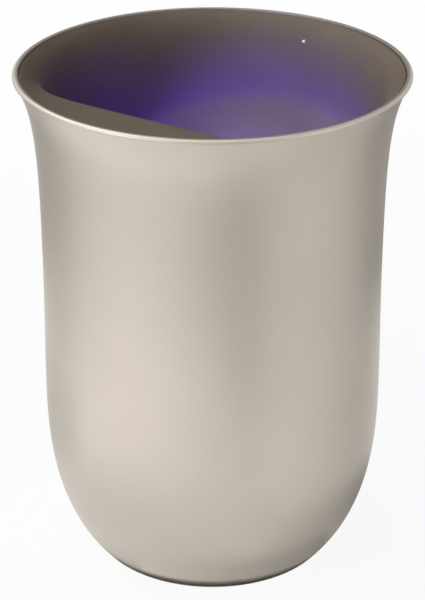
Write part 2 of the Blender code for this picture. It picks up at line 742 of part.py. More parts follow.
def build_window():
    half = (WINDOW_OPEN_WIDTH / 2 + WINDOW_LAP, WINDOW_OPEN_TALL / 2 + WINDOW_LAP)
    plate("uv_window", [outline_points(*half, 2 * LINER_WALL, 4)], WINDOW_LIFT,
          WINDOW_LIFT + WINDOW_THICKNESS, GLASS, parent=WINDOW)
    bracket = plate("uv_bracket", [outline_points(BRACKET_WIDTH / 2, BRACKET_TALL / 2,
                                                  BRACKET_MARGIN, 4)],
                    BRACKET_LIFT, BRACKET_LIFT + BRACKET_DEPTH, ALUMINIUM, parent=WINDOW)
    pocket = plate("bracket_pocket", [outline_points(WINDOW_OPEN_WIDTH / 2 + FIT,
                                                     WINDOW_OPEN_TALL / 2 + FIT, LINER_WALL, 3)],
                   BRACKET_LIFT - OVERRUN, LAMP_BOARD_TOP + FIT, cutter=True, parent=WINDOW)
    holes = [rod("bracket_hole", SMALL_BORE, 0, BRACKET_LIFT + BRACKET_DEPTH + OVERRUN,
                 cutter=True, parent=WINDOW, at=p, segments=8) for p in BRACKET_HOLES]
    holes.append(rod("lead_hole", LEAD_RADIUS + 2 * FIT, 0, BRACKET_LIFT + BRACKET_DEPTH + OVERRUN,
                     cutter=True, parent=WINDOW, at=(UV_LEAD_X, 0), segments=12))
    cut(bracket, [pocket] + holes)
    plate("uv_board", [outline_points(WINDOW_OPEN_WIDTH / 2 - FIT, WINDOW_OPEN_TALL / 2 - FIT,
                                      LINER_WALL, 3)],
          LAMP_BOARD_LIFT, LAMP_BOARD_TOP, BOARD, parent=WINDOW)
    for k in range(LAMP_COUNT):
        x = (k - (LAMP_COUNT - 1) / 2) * LAMP_PITCH
        build_lamp("uv_led_%d" % (k + 1), x)
    for k, place in enumerate(BRACKET_HOLES):
        screw("uv_bracket_screw_%d" % (k + 1), SMALL_SCREW, BRACKET_DEPTH, place,
              BRACKET_LIFT + BRACKET_DEPTH + FIT, WINDOW)


def build_lamp(name, x):
    """Square ceramic lamp body with a low round lens."""
    half = LAMP_SIZE / 2
    body = box(name, (x - half, -half, LAMP_LIFT + LAMP_THICKNESS / 2),
               (x + half, half, LAMP_LIFT + LAMP_THICKNESS), LAMP, parent=WINDOW)
    lens = rod("lamp_lens", LENS_RADIUS, LAMP_LIFT, LAMP_LIFT + LENS_DEPTH,
               cutter=True, parent=WINDOW, at=(x, 0), segments=12)
    return join(body, [lens])


def build_coil():
    turned("charging_coil", [(COIL_OUTER_RADIUS, COIL_LIFT + COIL_THICKNESS),
                             (COIL_OUTER_RADIUS, COIL_LIFT), (COIL_INNER_RADIUS, COIL_LIFT),
                             (COIL_INNER_RADIUS, COIL_LIFT + COIL_THICKNESS)],
           COPPER, 28, parent=REST)
    rod("ferrite_plate", FERRITE_RADIUS, FERRITE_LIFT, FERRITE_LIFT + FERRITE_THICKNESS, FERRITE,
        parent=REST, segments=24)
    holes = [circle_points(SMALL_BORE, p, 12) for p in CARRIER_HOLES]
    half = CARRIER_SIZE / 2
    plate("coil_carrier", [outline_points(half, half, CARRIER_MARGIN, 4)] + holes,
          CARRIER_LIFT, CARRIER_LIFT + CARRIER_THICKNESS, DARK, parent=REST)
    for k, place in enumerate(CARRIER_HOLES):
        screw("carrier_screw_%d" % (k + 1), SMALL_SCREW, CARRIER_THICKNESS + CARRIER_LIFT / 2,
              place, CARRIER_LIFT + CARRIER_THICKNESS + FIT, REST)


def screw(name, sizes, length, place, seat, parent=None, down=True):
    """Pan-head screw on its seat; its shank runs down, or up when down is False."""
    head_radius, head_height, shank_radius = sizes
    crown = head_height / 4
    outline = [(0, head_height), (head_radius - crown, head_height),
               (head_radius, head_height - crown), (head_radius, 0), (shank_radius, 0),
               (shank_radius, -length), (0, -length)]
    item = turned(name, outline, STEEL, SCREW_SEGMENTS, parent=parent)
    item.location = (place[0], place[1], seat)
    if not down:
        item.rotation_euler = (math.pi, 0, 0)
    return item


def build_pilot():
    z = HEIGHT - PILOT_DROP
    face = liner_radius(z)
    lamp = PILOT_BOARD_THICKNESS + FIT / 3 + PILOT_LAMP_THICKNESS
    rear = pilot_board_back(z - PILOT_RADIUS) - lamp / math.cos(pilot_lean()) - FIT / 2
    lens = rod("indicator_lens", PILOT_RADIUS, face - PILOT_RADIUS / 2, rear, PILOT, segments=12)
    lens.rotation_euler = (-math.pi / 2, 0, 0)
    lens.location = (0, 0, z)
    half = PILOT_BOARD_WIDTH / 2
    tall = PILOT_BOARD_TALL / 2
    box("indicator_board", (-half, -tall, -PILOT_BOARD_THICKNESS), (half, tall, 0), BOARD,
        parent=PILOT_PLACE)
    face_up = -PILOT_BOARD_THICKNESS - FIT / 3
    wide = PILOT_LAMP_WIDTH / 2
    box("indicator_led", (-wide, -tall, face_up - PILOT_LAMP_THICKNESS),
        (wide, -tall + PILOT_LAMP_WIDTH, face_up), LAMP, parent=PILOT_PLACE)
    pad_top = -PILOT_BOARD_THICKNESS - FIT / 3
    box("indicator_pad", (-half, -tall + 2 * PILOT_LAMP_WIDTH, pad_top - pad_depth()),
        (half, tall, pad_top), SILICONE, parent=PILOT_PLACE)


def pad_depth():
    """Foam between the pilot board and the liner's back, at its narrowest."""
    middle = pilot_board_height()
    reach = PILOT_BOARD_TALL / 2
    room = min(pilot_board_back(z) - liner_outer_radius(z)
               for z in (middle - reach, middle, middle + reach - PILOT_LAMP_WIDTH))
    return room * math.cos(pilot_lean()) - PILOT_BOARD_THICKNESS - 4 * FIT / 3


# Bowl: chassis, ballast, boards and base


def chassis_floor():
    return BASE_FLANGE_TOP + FIT


def chassis_outer(z):
    return shell_inside(z) - CHASSIS_GAP


def board_foot():
    return POST_TOP + FIT


def deck_boss_foot():
    return board_top() + DECK_LIFT


def deck_post_top():
    return deck_boss_foot() - FIT


def board_top():
    return board_foot() + BOARD_THICKNESS


def chassis_outline():
    """From the axis over the floor, up the inside, down the outside."""
    foot = chassis_floor()
    outer = [(chassis_outer(z), z) for z in spread(CHASSIS_RIM, foot, 4)]
    inner = [(chassis_outer(z) - CHASSIS_WALL, z)
             for z in spread(foot + CHASSIS_FLOOR, CHASSIS_RIM, 3)]
    return [(0, foot + CHASSIS_FLOOR)] + inner + outer + [(0, foot)]


def build_chassis():
    """Bowl that nests in the shell, with posts and the uprights of the button board."""
    foot = chassis_floor()
    rooted = foot + CHASSIS_FLOOR / 2
    chassis = turned("chassis", chassis_outline(), DARK, 24)
    added = [rod("chassis_post", POST_RADIUS, rooted, POST_TOP, cutter=True, at=p, segments=10)
             for p in POSTS]
    added += [rod("deck_post", LINER_POST_RADIUS, rooted, deck_post_top(), cutter=True, at=p,
                  segments=10) for p in DECK_HOLES]
    rear = switch_board_front() - FIT
    for sign in (-1, 1):
        x = sign * UPRIGHT_X
        added.append(box("upright", (x - UPRIGHT_WIDTH / 2, rear - UPRIGHT_DEPTH,
                                     CHASSIS_RIM - UPRIGHT_ROOT),
                         (x + UPRIGHT_WIDTH / 2, rear, BUTTON_HEIGHT + SWITCH_BOARD_TALL / 2),
                         cutter=True))
    join(chassis, added)
    holes = [rod("base_pilot", BASE_PILOT_BORE, foot - OVERRUN, foot + BASE_PILOT_DEPTH,
                 cutter=True, at=p, segments=8) for p in POSTS]
    holes += [rod("board_pilot", SMALL_BORE, POST_TOP - BOARD_PILOT_DEPTH, POST_TOP + OVERRUN,
                  cutter=True, at=p, segments=8) for p in POSTS]
    holes += [rod("deck_hole", BASE_BORE, foot - OVERRUN, deck_post_top() + OVERRUN, cutter=True,
                  at=p, segments=8) for p in DECK_HOLES]
    holes += [rod("deck_head", BASE_SCREW[0] + FIT, foot - OVERRUN, deck_post_top() - DECK_WEB,
                  cutter=True, at=p) for p in DECK_HOLES]
    for sign in (-1, 1):
        hole = rod("upright_pilot", SMALL_BORE, rear - UPRIGHT_DEPTH - OVERRUN, rear + OVERRUN,
                   cutter=True, segments=12)
        aim_back(hole, sign * UPRIGHT_X, BUTTON_HEIGHT)
        holes.append(hole)
    cut(chassis, holes)
    for k, place in enumerate(DECK_HOLES):
        screw("deck_screw_%d" % (k + 1), BASE_SCREW, DECK_SCREW_LENGTH, place,
              deck_post_top() - DECK_WEB - FIT, down=False)


def build_ballast():
    low = chassis_floor() + CHASSIS_FLOOR + FIT
    ballast = rod("ballast_plate", BALLAST_RADIUS, low, low + BALLAST_THICKNESS, STEEL, segments=24)
    holes = [rod("ballast_hole", POST_RADIUS + 2 * FIT, low - OVERRUN,
                 low + BALLAST_THICKNESS + OVERRUN, cutter=True, at=p) for p in POSTS]
    holes += [rod("ballast_notch", LINER_POST_RADIUS + 2 * FIT, low - OVERRUN,
                  low + BALLAST_THICKNESS + OVERRUN, cutter=True, at=p) for p in DECK_HOLES]
    return cut(ballast, holes)


def plug_box(place):
    """Header of a lead on the main board."""
    width, depth, tall = PLUG_SIZE
    return box("header", (place[0] - width / 2, place[1] - depth / 2, board_top() - FIT),
               (place[0] + width / 2, place[1] + depth / 2, board_top() + tall), cutter=True)


def build_main_board():
    """Round board with a tongue to the inlet, its headers and its largest components."""
    low = board_foot()
    top = board_top()
    board = rod("main_board", BOARD_RADIUS, low, top, BOARD, segments=32)
    added = [box("tongue", (-BOARD_TONGUE_HALF, 0, low),
                 (BOARD_TONGUE_HALF, BOARD_TONGUE_REACH, top), cutter=True)]
    added += [plug_box(place) for place in HEADERS.values()]
    added.append(box("processor", (-CHIP_SIZE / 2, -CHIP_SIZE / 2, top - FIT),
                     (CHIP_SIZE / 2, CHIP_SIZE / 2, top + CHIP_TALL), cutter=True))
    added.append(box("coil_driver", (COIL_CHIP_X, -CHIP_SIZE / 2, top - FIT),
                     (COIL_CHIP_X + CHIP_SIZE, CHIP_SIZE / 2, top + CHIP_TALL), cutter=True))
    added += [rod("capacitor", CAPACITOR_RADIUS, top - FIT, top + CAPACITOR_TALL, cutter=True,
                  at=p, segments=14) for p in CAPACITORS]
    join(board, added)
    holes = [rod("board_hole", SMALL_BORE, low - OVERRUN, top + OVERRUN, cutter=True, at=p,
                 segments=12) for p in POSTS]
    holes += [rod("post_hole", LINER_POST_RADIUS + 2 * FIT, low - OVERRUN, top + OVERRUN,
                  cutter=True, at=p) for p in DECK_HOLES]
    cut(board, holes)
    for k, place in enumerate(POSTS):
        screw("board_screw_%d" % (k + 1), SMALL_SCREW, BOARD_SCREW_LENGTH, place, top + FIT)


def stadium_points(half_width, half_tall, steps=4):
    return outline_points(half_width, half_tall, half_tall - MERGE, steps)


def inlet_height():
    return board_top() + FIT + INLET_TALL / 2


def bezel_solid(name, half_width, half_tall, cutter=False):
    """Stadium bar along Y at the inlet, from the board's tongue outwards."""
    bar = plate(name, [stadium_points(half_width, half_tall)], BOARD_TONGUE_REACH + FIT,
                BELLY_RADIUS + OVERRUN, DARK, cutter=cutter)
    aim_back(bar, 0, inlet_height())
    return bar


def aim_back(item, x, z):
    """Turn a piece made along local Z to point along +Y, at a height."""
    item.rotation_euler = (-math.pi / 2, 0, 0)
    item.location = (x, 0, z)


def build_inlet():
    """Receptacle on the board's tongue, and the bezel that lines its opening."""
    mouth = BOARD_TONGUE_REACH + INLET_REACH
    half = (INLET_WIDTH / 2, INLET_TALL / 2)
    inlet = plate("power_inlet", [stadium_points(*half)], mouth - INLET_LENGTH, mouth, STEEL)
    aim_back(inlet, 0, inlet_height())
    hollow = plate("inlet_hollow", [stadium_points(half[0] - INLET_WALL, half[1] - INLET_WALL)],
                   mouth - INLET_DEPTH, mouth + OVERRUN, cutter=True)
    aim_back(hollow, 0, inlet_height())
    cut(inlet, [hollow])
    tongue_half = half[0] - 2 * INLET_TALL / 3
    tongue = box("inlet_tongue", (-tongue_half, mouth - INLET_DEPTH - INLET_WALL,
                                  inlet_height() - INLET_TONGUE / 2),
                 (tongue_half, mouth - INLET_WALL, inlet_height() + INLET_TONGUE / 2), cutter=True)
    join(inlet, [tongue])
    bezel = bezel_solid("inlet_bezel", BEZEL_WIDTH / 2 - FIT, BEZEL_TALL / 2 - FIT)
    throat = bezel_solid("bezel_throat", half[0] + FIT, half[1] + FIT, cutter=True)
    throat.location.y = -OVERRUN
    low = inlet_height() - BEZEL_TALL
    tall = inlet_height() + BEZEL_TALL
    skin = [(0, tall)] + [(shell_radius(z) - FIT, z) for z in spread(tall, low, 8)] + [(0, low)]
    envelope = turned("bezel_envelope", skin, None, 96, cutter=True)
    cut(combine(bezel, [envelope], "INTERSECT"), [throat])


def button_face():
    """Outer face of the button's flange, just inside the shell."""
    inside = shell_inside(BUTTON_HEIGHT - BUTTON_FLANGE_RADIUS)
    return math.sqrt(inside ** 2 - BUTTON_FLANGE_RADIUS ** 2) - FIT


def switch_board_rear():
    stem_end = button_face() - BUTTON_FLANGE_THICKNESS - BUTTON_STEM_LENGTH
    plunger_top = stem_end - BUTTON_TRAVEL - BUTTON_CLEARANCE
    return plunger_top - SWITCH_PLUNGER - SWITCH_THICKNESS - FIT


def switch_board_front():
    return switch_board_rear() - SWITCH_BOARD_THICKNESS


def build_button():
    """Button cap with its retaining flange and stem, then the switch behind it."""
    face = button_face()
    crown = shell_radius(BUTTON_HEIGHT) + BUTTON_PROUD
    back = face - BUTTON_FLANGE_THICKNESS
    dome = [(BUTTON_RADIUS * math.sin(a), crown - BUTTON_DISH * (1 - math.cos(a)) * 2)
            for a in (math.radians(30 * k) for k in range(3))]
    outline = dome + [(BUTTON_RADIUS, crown - 2 * BUTTON_DISH), (BUTTON_RADIUS, face),
                      (BUTTON_FLANGE_RADIUS, face), (BUTTON_FLANGE_RADIUS, back),
                      (BUTTON_STEM_RADIUS, back), (BUTTON_STEM_RADIUS, back - BUTTON_STEM_LENGTH),
                      (0, back - BUTTON_STEM_LENGTH)]
    cap = turned("start_button", outline, CHAMPAGNE, 20)
    aim_back(cap, 0, BUTTON_HEIGHT)
    rear = switch_board_rear()
    half = SWITCH_SIZE / 2
    switch = box("button_switch", (-half, rear + FIT, BUTTON_HEIGHT - half),
                 (half, rear + FIT + SWITCH_THICKNESS, BUTTON_HEIGHT + half), DARK)
    plunger = rod("plunger", BUTTON_STEM_RADIUS, rear + SWITCH_THICKNESS / 2,
                  rear + FIT + SWITCH_THICKNESS + SWITCH_PLUNGER, cutter=True)
    aim_back(plunger, 0, BUTTON_HEIGHT)
    join(switch, [plunger])
    wide = SWITCH_BOARD_WIDTH / 2
    tall = SWITCH_BOARD_TALL / 2
    board = box("button_board", (-wide, switch_board_front(), BUTTON_HEIGHT - tall),
                (wide, rear, BUTTON_HEIGHT + tall), BOARD)
    holes = []
    for sign in (-1, 1):
        hole = rod("button_board_hole", SMALL_BORE, rear - 2 * OVERRUN - SWITCH_BOARD_THICKNESS,
                   rear + OVERRUN, cutter=True, segments=12)
        aim_back(hole, sign * UPRIGHT_X, BUTTON_HEIGHT)
        holes.append(hole)
    cut(board, holes)
    for k, sign in enumerate((-1, 1)):
        item = screw("button_board_screw_%d" % (k + 1), SMALL_SCREW, 2 * SWITCH_THICKNESS / 3 +
                     SWITCH_BOARD_THICKNESS, (0, 0), 0)
        aim_back(item, sign * UPRIGHT_X, BUTTON_HEIGHT)
        item.location.y = rear + FIT


def build_base():
    """Cover in the shell's base opening, the rubber foot in its groove and the screws."""
    top = BASE_FLANGE_TOP
    ledge = COVER_SEAT_TOP - FIT
    hub = BASE_HOLE_RADIUS - FIT
    rim = COVER_SEAT_RADIUS - FIT
    groove = FOOT_THICKNESS + FIT
    outline = [(0, top), (hub, top), (hub, ledge), (rim, ledge), (rim, COVER_LIFT),
               (FOOT_OUTER_RADIUS + FIT, COVER_LIFT), (FOOT_OUTER_RADIUS + FIT, groove),
               (FOOT_INNER_RADIUS - FIT, groove), (FOOT_INNER_RADIUS - FIT, COVER_LIFT),
               (0, COVER_LIFT)]
    cover = turned("base_cover", outline, DARK, 28)
    holes = [rod("cover_hole", BASE_BORE, COVER_LIFT - OVERRUN, top + OVERRUN, cutter=True, at=p,
                 segments=12) for p in POSTS]
    seat = COVER_LIFT + BASE_SCREW[1] + FIT
    holes += [rod("cover_head", BASE_SCREW[0] + FIT, COVER_LIFT - OVERRUN, seat + FIT, cutter=True,
                  at=p) for p in POSTS]
    cut(cover, holes)
    chamfer = FIT
    turned("foot_ring", [(FOOT_OUTER_RADIUS, FOOT_THICKNESS), (FOOT_OUTER_RADIUS, chamfer),
                         (FOOT_OUTER_RADIUS - chamfer, 0), (FOOT_INNER_RADIUS + chamfer, 0),
                         (FOOT_INNER_RADIUS, chamfer), (FOOT_INNER_RADIUS, FOOT_THICKNESS)],
           RUBBER, 32)
    for k, place in enumerate(POSTS):
        screw("base_screw_%d" % (k + 1), BASE_SCREW, BASE_SCREW_LENGTH, place, seat, down=False)


def build_pad():
    low = FLOOR_HEIGHT + FIT
    pad = plate("rest_pad", [outline_points(PAD_LENGTH / 2, PAD_DEPTH / 2, PAD_CORNER, 4)],
                low, low + PAD_THICKNESS, SILICONE)
    pad.location = (0, SLOT_MIDDLE, 0)


def smooth_route(points, steps=3):
    """Points on a smooth curve through the given ones, bent no harder than its spans."""
    knots = [Vector(p) for p in points]
    knots = [2 * knots[0] - knots[1]] + knots + [2 * knots[-1] - knots[-2]]
    route = []
    for a, b, c, d in zip(knots, knots[1:], knots[2:], knots[3:]):
        span = (c - b).length
        leave = (c - a).normalized() * span
        arrive = (d - b).normalized() * span
        for k in range(steps):
            t = k / steps
            u = 1 - t
            route.append(b * (1 + 2 * t) * u * u + c * (3 - 2 * t) * t * t +
                         leave * t * u * u - arrive * t * t * u)
    route.append(knots[-2])
    return route


def lead(name, points, radius):
    """Sleeved lead along a smooth route."""
    curve = bpy.data.curves.new(name, "CURVE")
    curve.dimensions = "3D"
    curve.bevel_depth = radius
    curve.bevel_resolution = 1
    curve.use_fill_caps = True
    spline = curve.splines.new("POLY")
    route = smooth_route(points)
    spline.points.add(len(route) - 1)
    for target, place in zip(spline.points, route):
        target.co = (*place, 1)
    source = bpy.data.objects.new(name + "_curve", curve)
    CUTTERS.objects.link(source)
    bpy.context.view_layer.update()
    mesh = bpy.data.meshes.new_from_object(
        source.evaluated_get(bpy.context.evaluated_depsgraph_get()))
    bpy.data.objects.remove(source)
    shape = bmesh.new()
    shape.from_mesh(mesh)
    bmesh.ops.remove_doubles(shape, verts=shape.verts, dist=MERGE)
    shape.to_mesh(mesh)
    shape.free()
    return finish(add_object(name, mesh), WIRE)


def header_top(name):
    x, y = HEADERS[name]
    return Vector((x, y, board_top() + PLUG_SIZE[2] + FIT))


def build_leads():
    """Leads from the boards' headers to what they feed, inside the housing."""
    up = Vector((0, 0, PLUG_SIZE[2]))
    start = header_top("coil")
    tail = [REST.matrix_world @ Vector(p) for p in (
        (COIL_LEAD_X, COIL_LEAD_TURNS[0], CARRIER_LIFT),
        (COIL_LEAD_X, COIL_LEAD_TURNS[1], COIL_LIFT + COIL_THICKNESS / 2),
        (COIL_LEAD_X, COIL_OUTER_RADIUS + LEAD_RADIUS, COIL_LIFT + COIL_THICKNESS / 2))]
    lead("coil_lead", [start, start + up] + tail, LEAD_RADIUS)
    start = header_top("uv")
    front = -(SHELF_EDGE + LINER_WALL)
    lamp_end, out, bend = (WINDOW.matrix_world @ Vector((UV_LEAD_X, y, LAMP_BOARD_TOP + z))
                           for y, z in ((0, FIT), (0, 2 * LEAD_BEND / 3), (-LEAD_BEND, LEAD_BEND)))
    low = Vector((UV_LEAD_X, front - LEAD_BEND / 2, FLOOR_HEIGHT + BRACKET_TALL))
    lead("uv_lead", [start, start + up, low, bend, out, lamp_end], LEAD_RADIUS)
    start = header_top("pilot")
    board_end = PILOT_PLACE.matrix_world @ Vector(
        (0, PILOT_BOARD_TALL / 2 + PILOT_LEAD_RADIUS, -PILOT_BOARD_THICKNESS / 2))
    climb = [(start.x, start.y + LEAD_BEND, BELLY_HEIGHT),
             (start.x / 2, corridor_middle(WAIST_HEIGHT) - LEAD_BEND, WAIST_HEIGHT)]
    climb += [(0, corridor_middle(HEIGHT - drop), HEIGHT - drop) for drop in PILOT_LEAD_DROPS]
    lead("indicator_lead", [start, start + up] + climb + [board_end], PILOT_LEAD_RADIUS)
    start = header_top("button")
    front = switch_board_front() - FIT
    rise = BUTTON_HEIGHT - SWITCH_BOARD_TALL / 4
    bend = Vector((start.x, front - LEAD_BEND / 2, rise - LEAD_BEND / 2))
    lead("button_lead", [start, start + up, bend, Vector((start.x, front, rise))],
         PILOT_LEAD_RADIUS)


def corridor_middle(z):
    """Middle of the space between the liner's back and the shell."""
    return (min(liner_outer_radius(z), back_wall(z) + LINER_WALL) + shell_inside(z)) / 2


def build():
    build_shell()
    build_liner()
    build_window()
    build_coil()
    build_pilot()
    build_chassis()
    build_ballast()
    build_main_board()
    build_inlet()
    build_button()
    build_base()
    build_pad()
    build_leads()


if __name__ == "__main__":
    build()
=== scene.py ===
"""Looks of the phone ultraviolet cup: finishes, fine meshes, light and camera.

The solids are the fixed frame. The shell, the liner and the small parts that
show are built again from the same outlines with fine meshes. All lengths are
in metres, +Z is up and -Y is the front.
"""
import json
import math

import bmesh
import bpy
from mathutils import Matrix, Vector

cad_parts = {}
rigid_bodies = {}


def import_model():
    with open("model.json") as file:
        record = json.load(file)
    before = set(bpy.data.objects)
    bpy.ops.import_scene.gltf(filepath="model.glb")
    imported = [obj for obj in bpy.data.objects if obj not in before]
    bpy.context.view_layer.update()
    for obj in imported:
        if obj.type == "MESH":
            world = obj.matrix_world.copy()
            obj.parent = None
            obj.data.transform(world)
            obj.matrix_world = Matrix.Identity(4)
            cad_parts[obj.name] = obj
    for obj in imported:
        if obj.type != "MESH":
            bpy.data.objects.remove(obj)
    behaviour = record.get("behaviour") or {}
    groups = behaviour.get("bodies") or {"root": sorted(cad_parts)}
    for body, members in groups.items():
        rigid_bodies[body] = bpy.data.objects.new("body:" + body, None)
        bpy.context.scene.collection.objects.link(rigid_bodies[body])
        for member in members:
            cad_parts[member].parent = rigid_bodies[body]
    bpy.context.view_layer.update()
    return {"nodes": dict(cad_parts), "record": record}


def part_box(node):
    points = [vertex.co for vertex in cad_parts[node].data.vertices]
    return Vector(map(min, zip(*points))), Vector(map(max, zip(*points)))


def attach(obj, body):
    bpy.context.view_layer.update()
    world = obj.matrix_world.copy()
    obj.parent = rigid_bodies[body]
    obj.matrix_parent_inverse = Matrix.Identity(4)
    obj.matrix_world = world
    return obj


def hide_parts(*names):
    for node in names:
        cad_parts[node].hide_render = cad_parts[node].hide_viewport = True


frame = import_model()

MM = 0.001

# Outline of the turned shell
HEIGHT = 182 * MM
RIM_RADIUS = 68 * MM
WAIST_RADIUS = 60 * MM
WAIST_HEIGHT = HEIGHT - 70 * MM
BELLY_RADIUS = 60.5 * MM
BELLY_HEIGHT = 64 * MM
BASE_RADIUS = 42.8 * MM
BOWL_EXPONENT = 2.55
FLARE_LENGTH = 14 * MM
SHELL_WALL = 1.2 * MM
BEAD_HEIGHT = 1.5 * MM
BEAD_STEP = 0.3 * MM
BEAD_WIDTH = 1.3 * MM
BEAD_TALL = 0.85 * MM
BEAD_INNER = 0.1 * MM
BEAD_UNDERCUT = math.radians(10)
CREASE_SHARE = 0.35
CREASE_RISE = 0.25 * MM
CREASE_FALL = 0.1 * MM
EDGE_ROUND = 0.4 * MM
REBATE_DEPTH = 2 * MM
LIP_WIDTH = 2 * MM
SHELL_LIFT = 0.6 * MM
COVER_SEAT_RADIUS = 40.5 * MM
COVER_SEAT_TOP = 2.4 * MM
BASE_HOLE_RADIUS = 36 * MM
BASE_FLANGE_TOP = 4.4 * MM
FIT = 0.3 * MM
SLACK = FIT / 10
SHELL_STEPS = 240
CREST_STEPS = 8
BEAD_STEPS = 14
SIDE_STEPS, SIDE_LEAN = 70, 1.5
BOWL_STEPS, BOWL_LEAN = 60, 1.3
BASE_EDGE_STEPS = 5
INSIDE_STEPS, INSIDE_LOW_LEAN, INSIDE_HIGH_LEAN = 24, 1.5, 1.8

# Liner
LINER_WALL = 1.6 * MM
LINER_DROP = 0.6 * MM
LINER_GAP = 2.1 * MM
LINER_SWEEP = 3 * MM
FLANGE_CHAMFER = 0.35 * MM
FLANGE_THICKNESS = 1.1 * MM
SHELF_DROP = 7 * MM
SHELF_EDGE = 37 * MM
SHELF_EDGE_ROUND = 0.7 * MM
FRONT_WALL_FOOT = 31 * MM
REST_LEAN = math.radians(15.7)
REST_FOOT = -15 * MM
FLOOR_HEIGHT = 33 * MM
FLOOR_FILLET = 3 * MM
SLOT_HALF_WIDTH = 41 * MM
SLOT_SIDE_LEAN = math.radians(7)
SHOULDER_HEIGHT = HEIGHT - 58 * MM
SHOULDER_RISE = 30 * MM
SHOULDER_DEPTH = 48 * MM
SHOULDER_SPREAD = 20 * MM
BASIN_BLEND = 8
EDGE_BLEND = 12
SWEEP_LEAN = 1.4
LINER_STEPS = 216
SHELF_EDGE_DEPTHS = [d * MM for d in (0, 0.12, 0.3, 0.55, 0.9, 1.4, 2.1, 3.2)]
BASIN_START = 2 * MM
FLANGE_STEPS = 4
SWEEP_STEPS, SWEEP_STEPS_BEHIND = 26, 8
BASIN_STEPS, BASIN_STEPS_BEHIND = 30, 14
SLOT_STEPS, SLOT_STEPS_BEHIND = 24, 10
FILLET_STEPS = 6

# Window and pilot light
WINDOW_HEIGHT = HEIGHT - 36 * MM
WINDOW_OPEN_WIDTH = 44 * MM
WINDOW_OPEN_TALL = 20 * MM
PILOT_DROP = 7.5 * MM
PILOT_HOLE_RADIUS = 0.85 * MM
PILOT_HOLE_STEPS = 40

# Rear: button and inlet
BUTTON_HEIGHT = 44 * MM
BUTTON_RADIUS = 5 * MM
BEZEL_WIDTH = 14 * MM
BEZEL_TALL = 7.6 * MM
TONGUE_REACH = 49.5 * MM
BUTTON_PROUD = 0.8 * MM
BUTTON_STEM_RADIUS = 1.8 * MM
BUTTON_STEM_LENGTH = 2 * MM
BUTTON_FLANGE_RADIUS = 6.3 * MM
BUTTON_FLANGE_THICKNESS = 1 * MM
BUTTON_SHOULDER = 0.6 * MM
BUTTON_CROWN = 0.25 * MM
BUTTON_STEPS, BUTTON_HOLE_STEPS = 96, 64
INLET_WALL = 0.35 * MM
INLET_ROUNDNESS = 0.99
INLET_DEPTH = 5.9 * MM
INLET_TONGUE = 0.7 * MM
CONTACT_PITCH = 0.42 * MM
CONTACT_WIDTH = 0.2 * MM
CONTACT_LENGTH = 3.6 * MM
CONTACT_PROUD = 0.03 * MM
CONTACT_COUNT = 10

# Base
FOOT_INNER_RADIUS = 29.8 * MM
FOOT_OUTER_RADIUS = 34.7 * MM
FOOT_THICKNESS = 1.8 * MM
FOOT_EDGE = 0.5 * MM
FOOT_GROOVE = 0.35 * MM
COVER_LIFT = 0.9 * MM
COVER_EDGE = 0.3 * MM
SCREW_HEAD_RADIUS = 2.7 * MM
SCREW_HEAD_HEIGHT = 1.8 * MM
SCREW_SHANK_RADIUS = 1.25 * MM
RECESS_DEPTH = 1.1 * MM
RECESS_REACH = 1.45 * MM
RECESS_HALF = 0.3 * MM
RECESS_MOUTH = 1.15
RECESS_TIP = 0.45
SCREW_TURN = 20
SCREW_TURN_STEP = 37
BASE_STEPS = 160
SMALL_STEPS = 48

# Rest pad and lamps
PAD_CORNER = 4.2 * MM
PAD_EDGE = 0.4 * MM
PAD_RIB = 0.45 * MM
LAMP_SIZE = 3.5 * MM
LAMP_THICKNESS = 1.5 * MM
LAMP_CUP_RADIUS = 1.4 * MM
LAMP_CUP_DEPTH = 1.1 * MM

# Camera: angles in degrees, lens and sensor in millimetres
VIEW_TURN = 33.5
VIEW_RISE = 25.91
VIEW_DISTANCE = 729 * MM
VIEW_AIM = 94.3 * MM
VIEW_LENS = 121.95
VIEW_SENSOR = 36.0
CLIP_START = 10 * MM

# Studio
FLOOR_HALF = 6.0
FLOOR_GREY = 0.9
FLOOR_ROUGHNESS = 0.9
FLOOR_WHITE = 0.92
FLOOR_NEAR = 160 * MM
FLOOR_FAR = 700 * MM
AMBIENT = 0.05
WHITE = (1, 1, 1, 1)

# Lights: degrees round from the front and up, distance, size and power
LIGHTS = {"key": (-20, 17, 1.05, (0.8, 1.1), 7.4),
          "top": (-98, 66, 1.3, (1.0, 1.0), 8.6),
          "inner_fill": (15, 24, 1.2, (0.4, 0.4), 1.9)}

# Violet light at the window and low in the slot
VIOLET = (0.13, 0.05, 1.0)
GLOW_SPREAD = math.radians(110)
GLOW_DROP = 25 * MM
GLOW_POWER = 0.175
DEEP_HEIGHT = 50 * MM
DEEP_SIZE = (70 * MM, 20 * MM)
DEEP_POWER = 0.16

# Cards on the floor for the metal to reflect: degrees round from the front, radii, lift in
# millimetres, shade and shine
BLACK = 0.03
FRONT_CARDS = [("bright_floor", (-52, 225), (0.13, 0.21), 1, BLACK, 1.45),
               ("dim_left", (-112, -52), (0.11, 0.195), 1, BLACK, 0.8),
               ("far_left", (-120, -66), (0.195, 0.25), 1, BLACK, 1.35),
               ("bright_far", (-66, 45), (0.195, 0.25), 3, BLACK, 2.3),
               ("mid_front", (-66, 26), (0.26, 0.5), 1, BLACK, 0.72),
               ("light_near", (-75, 60), (0.055, 0.13), 1, BLACK, 1.12),
               # contact_shade is a black disc under the cup: a painted contact shadow, seen only in
               # reflections
               ("contact_shade", (-180, 180), (0.002, 0.047), 1, BLACK, 0.0)]
SHADE_CARDS = [("shade_front", (26, 62), (0.26, 0.6), 2, 0.35, 0.0),
               ("dim_front", (22, 62), (0.15, 0.195), 2, BLACK, 1.2),
               ("shade_left", (-115, -62), (0.27, 0.6), 2, 0.55, 0.0),
               # shade_side is a grey card behind and right of the cup: a painted shadow of the cup
               # on the floor, seen only in reflections
               ("shade_side", (135, 205), (0.12, 0.45), 2, 0.6, 0.0)]
CARD_STEPS = 24
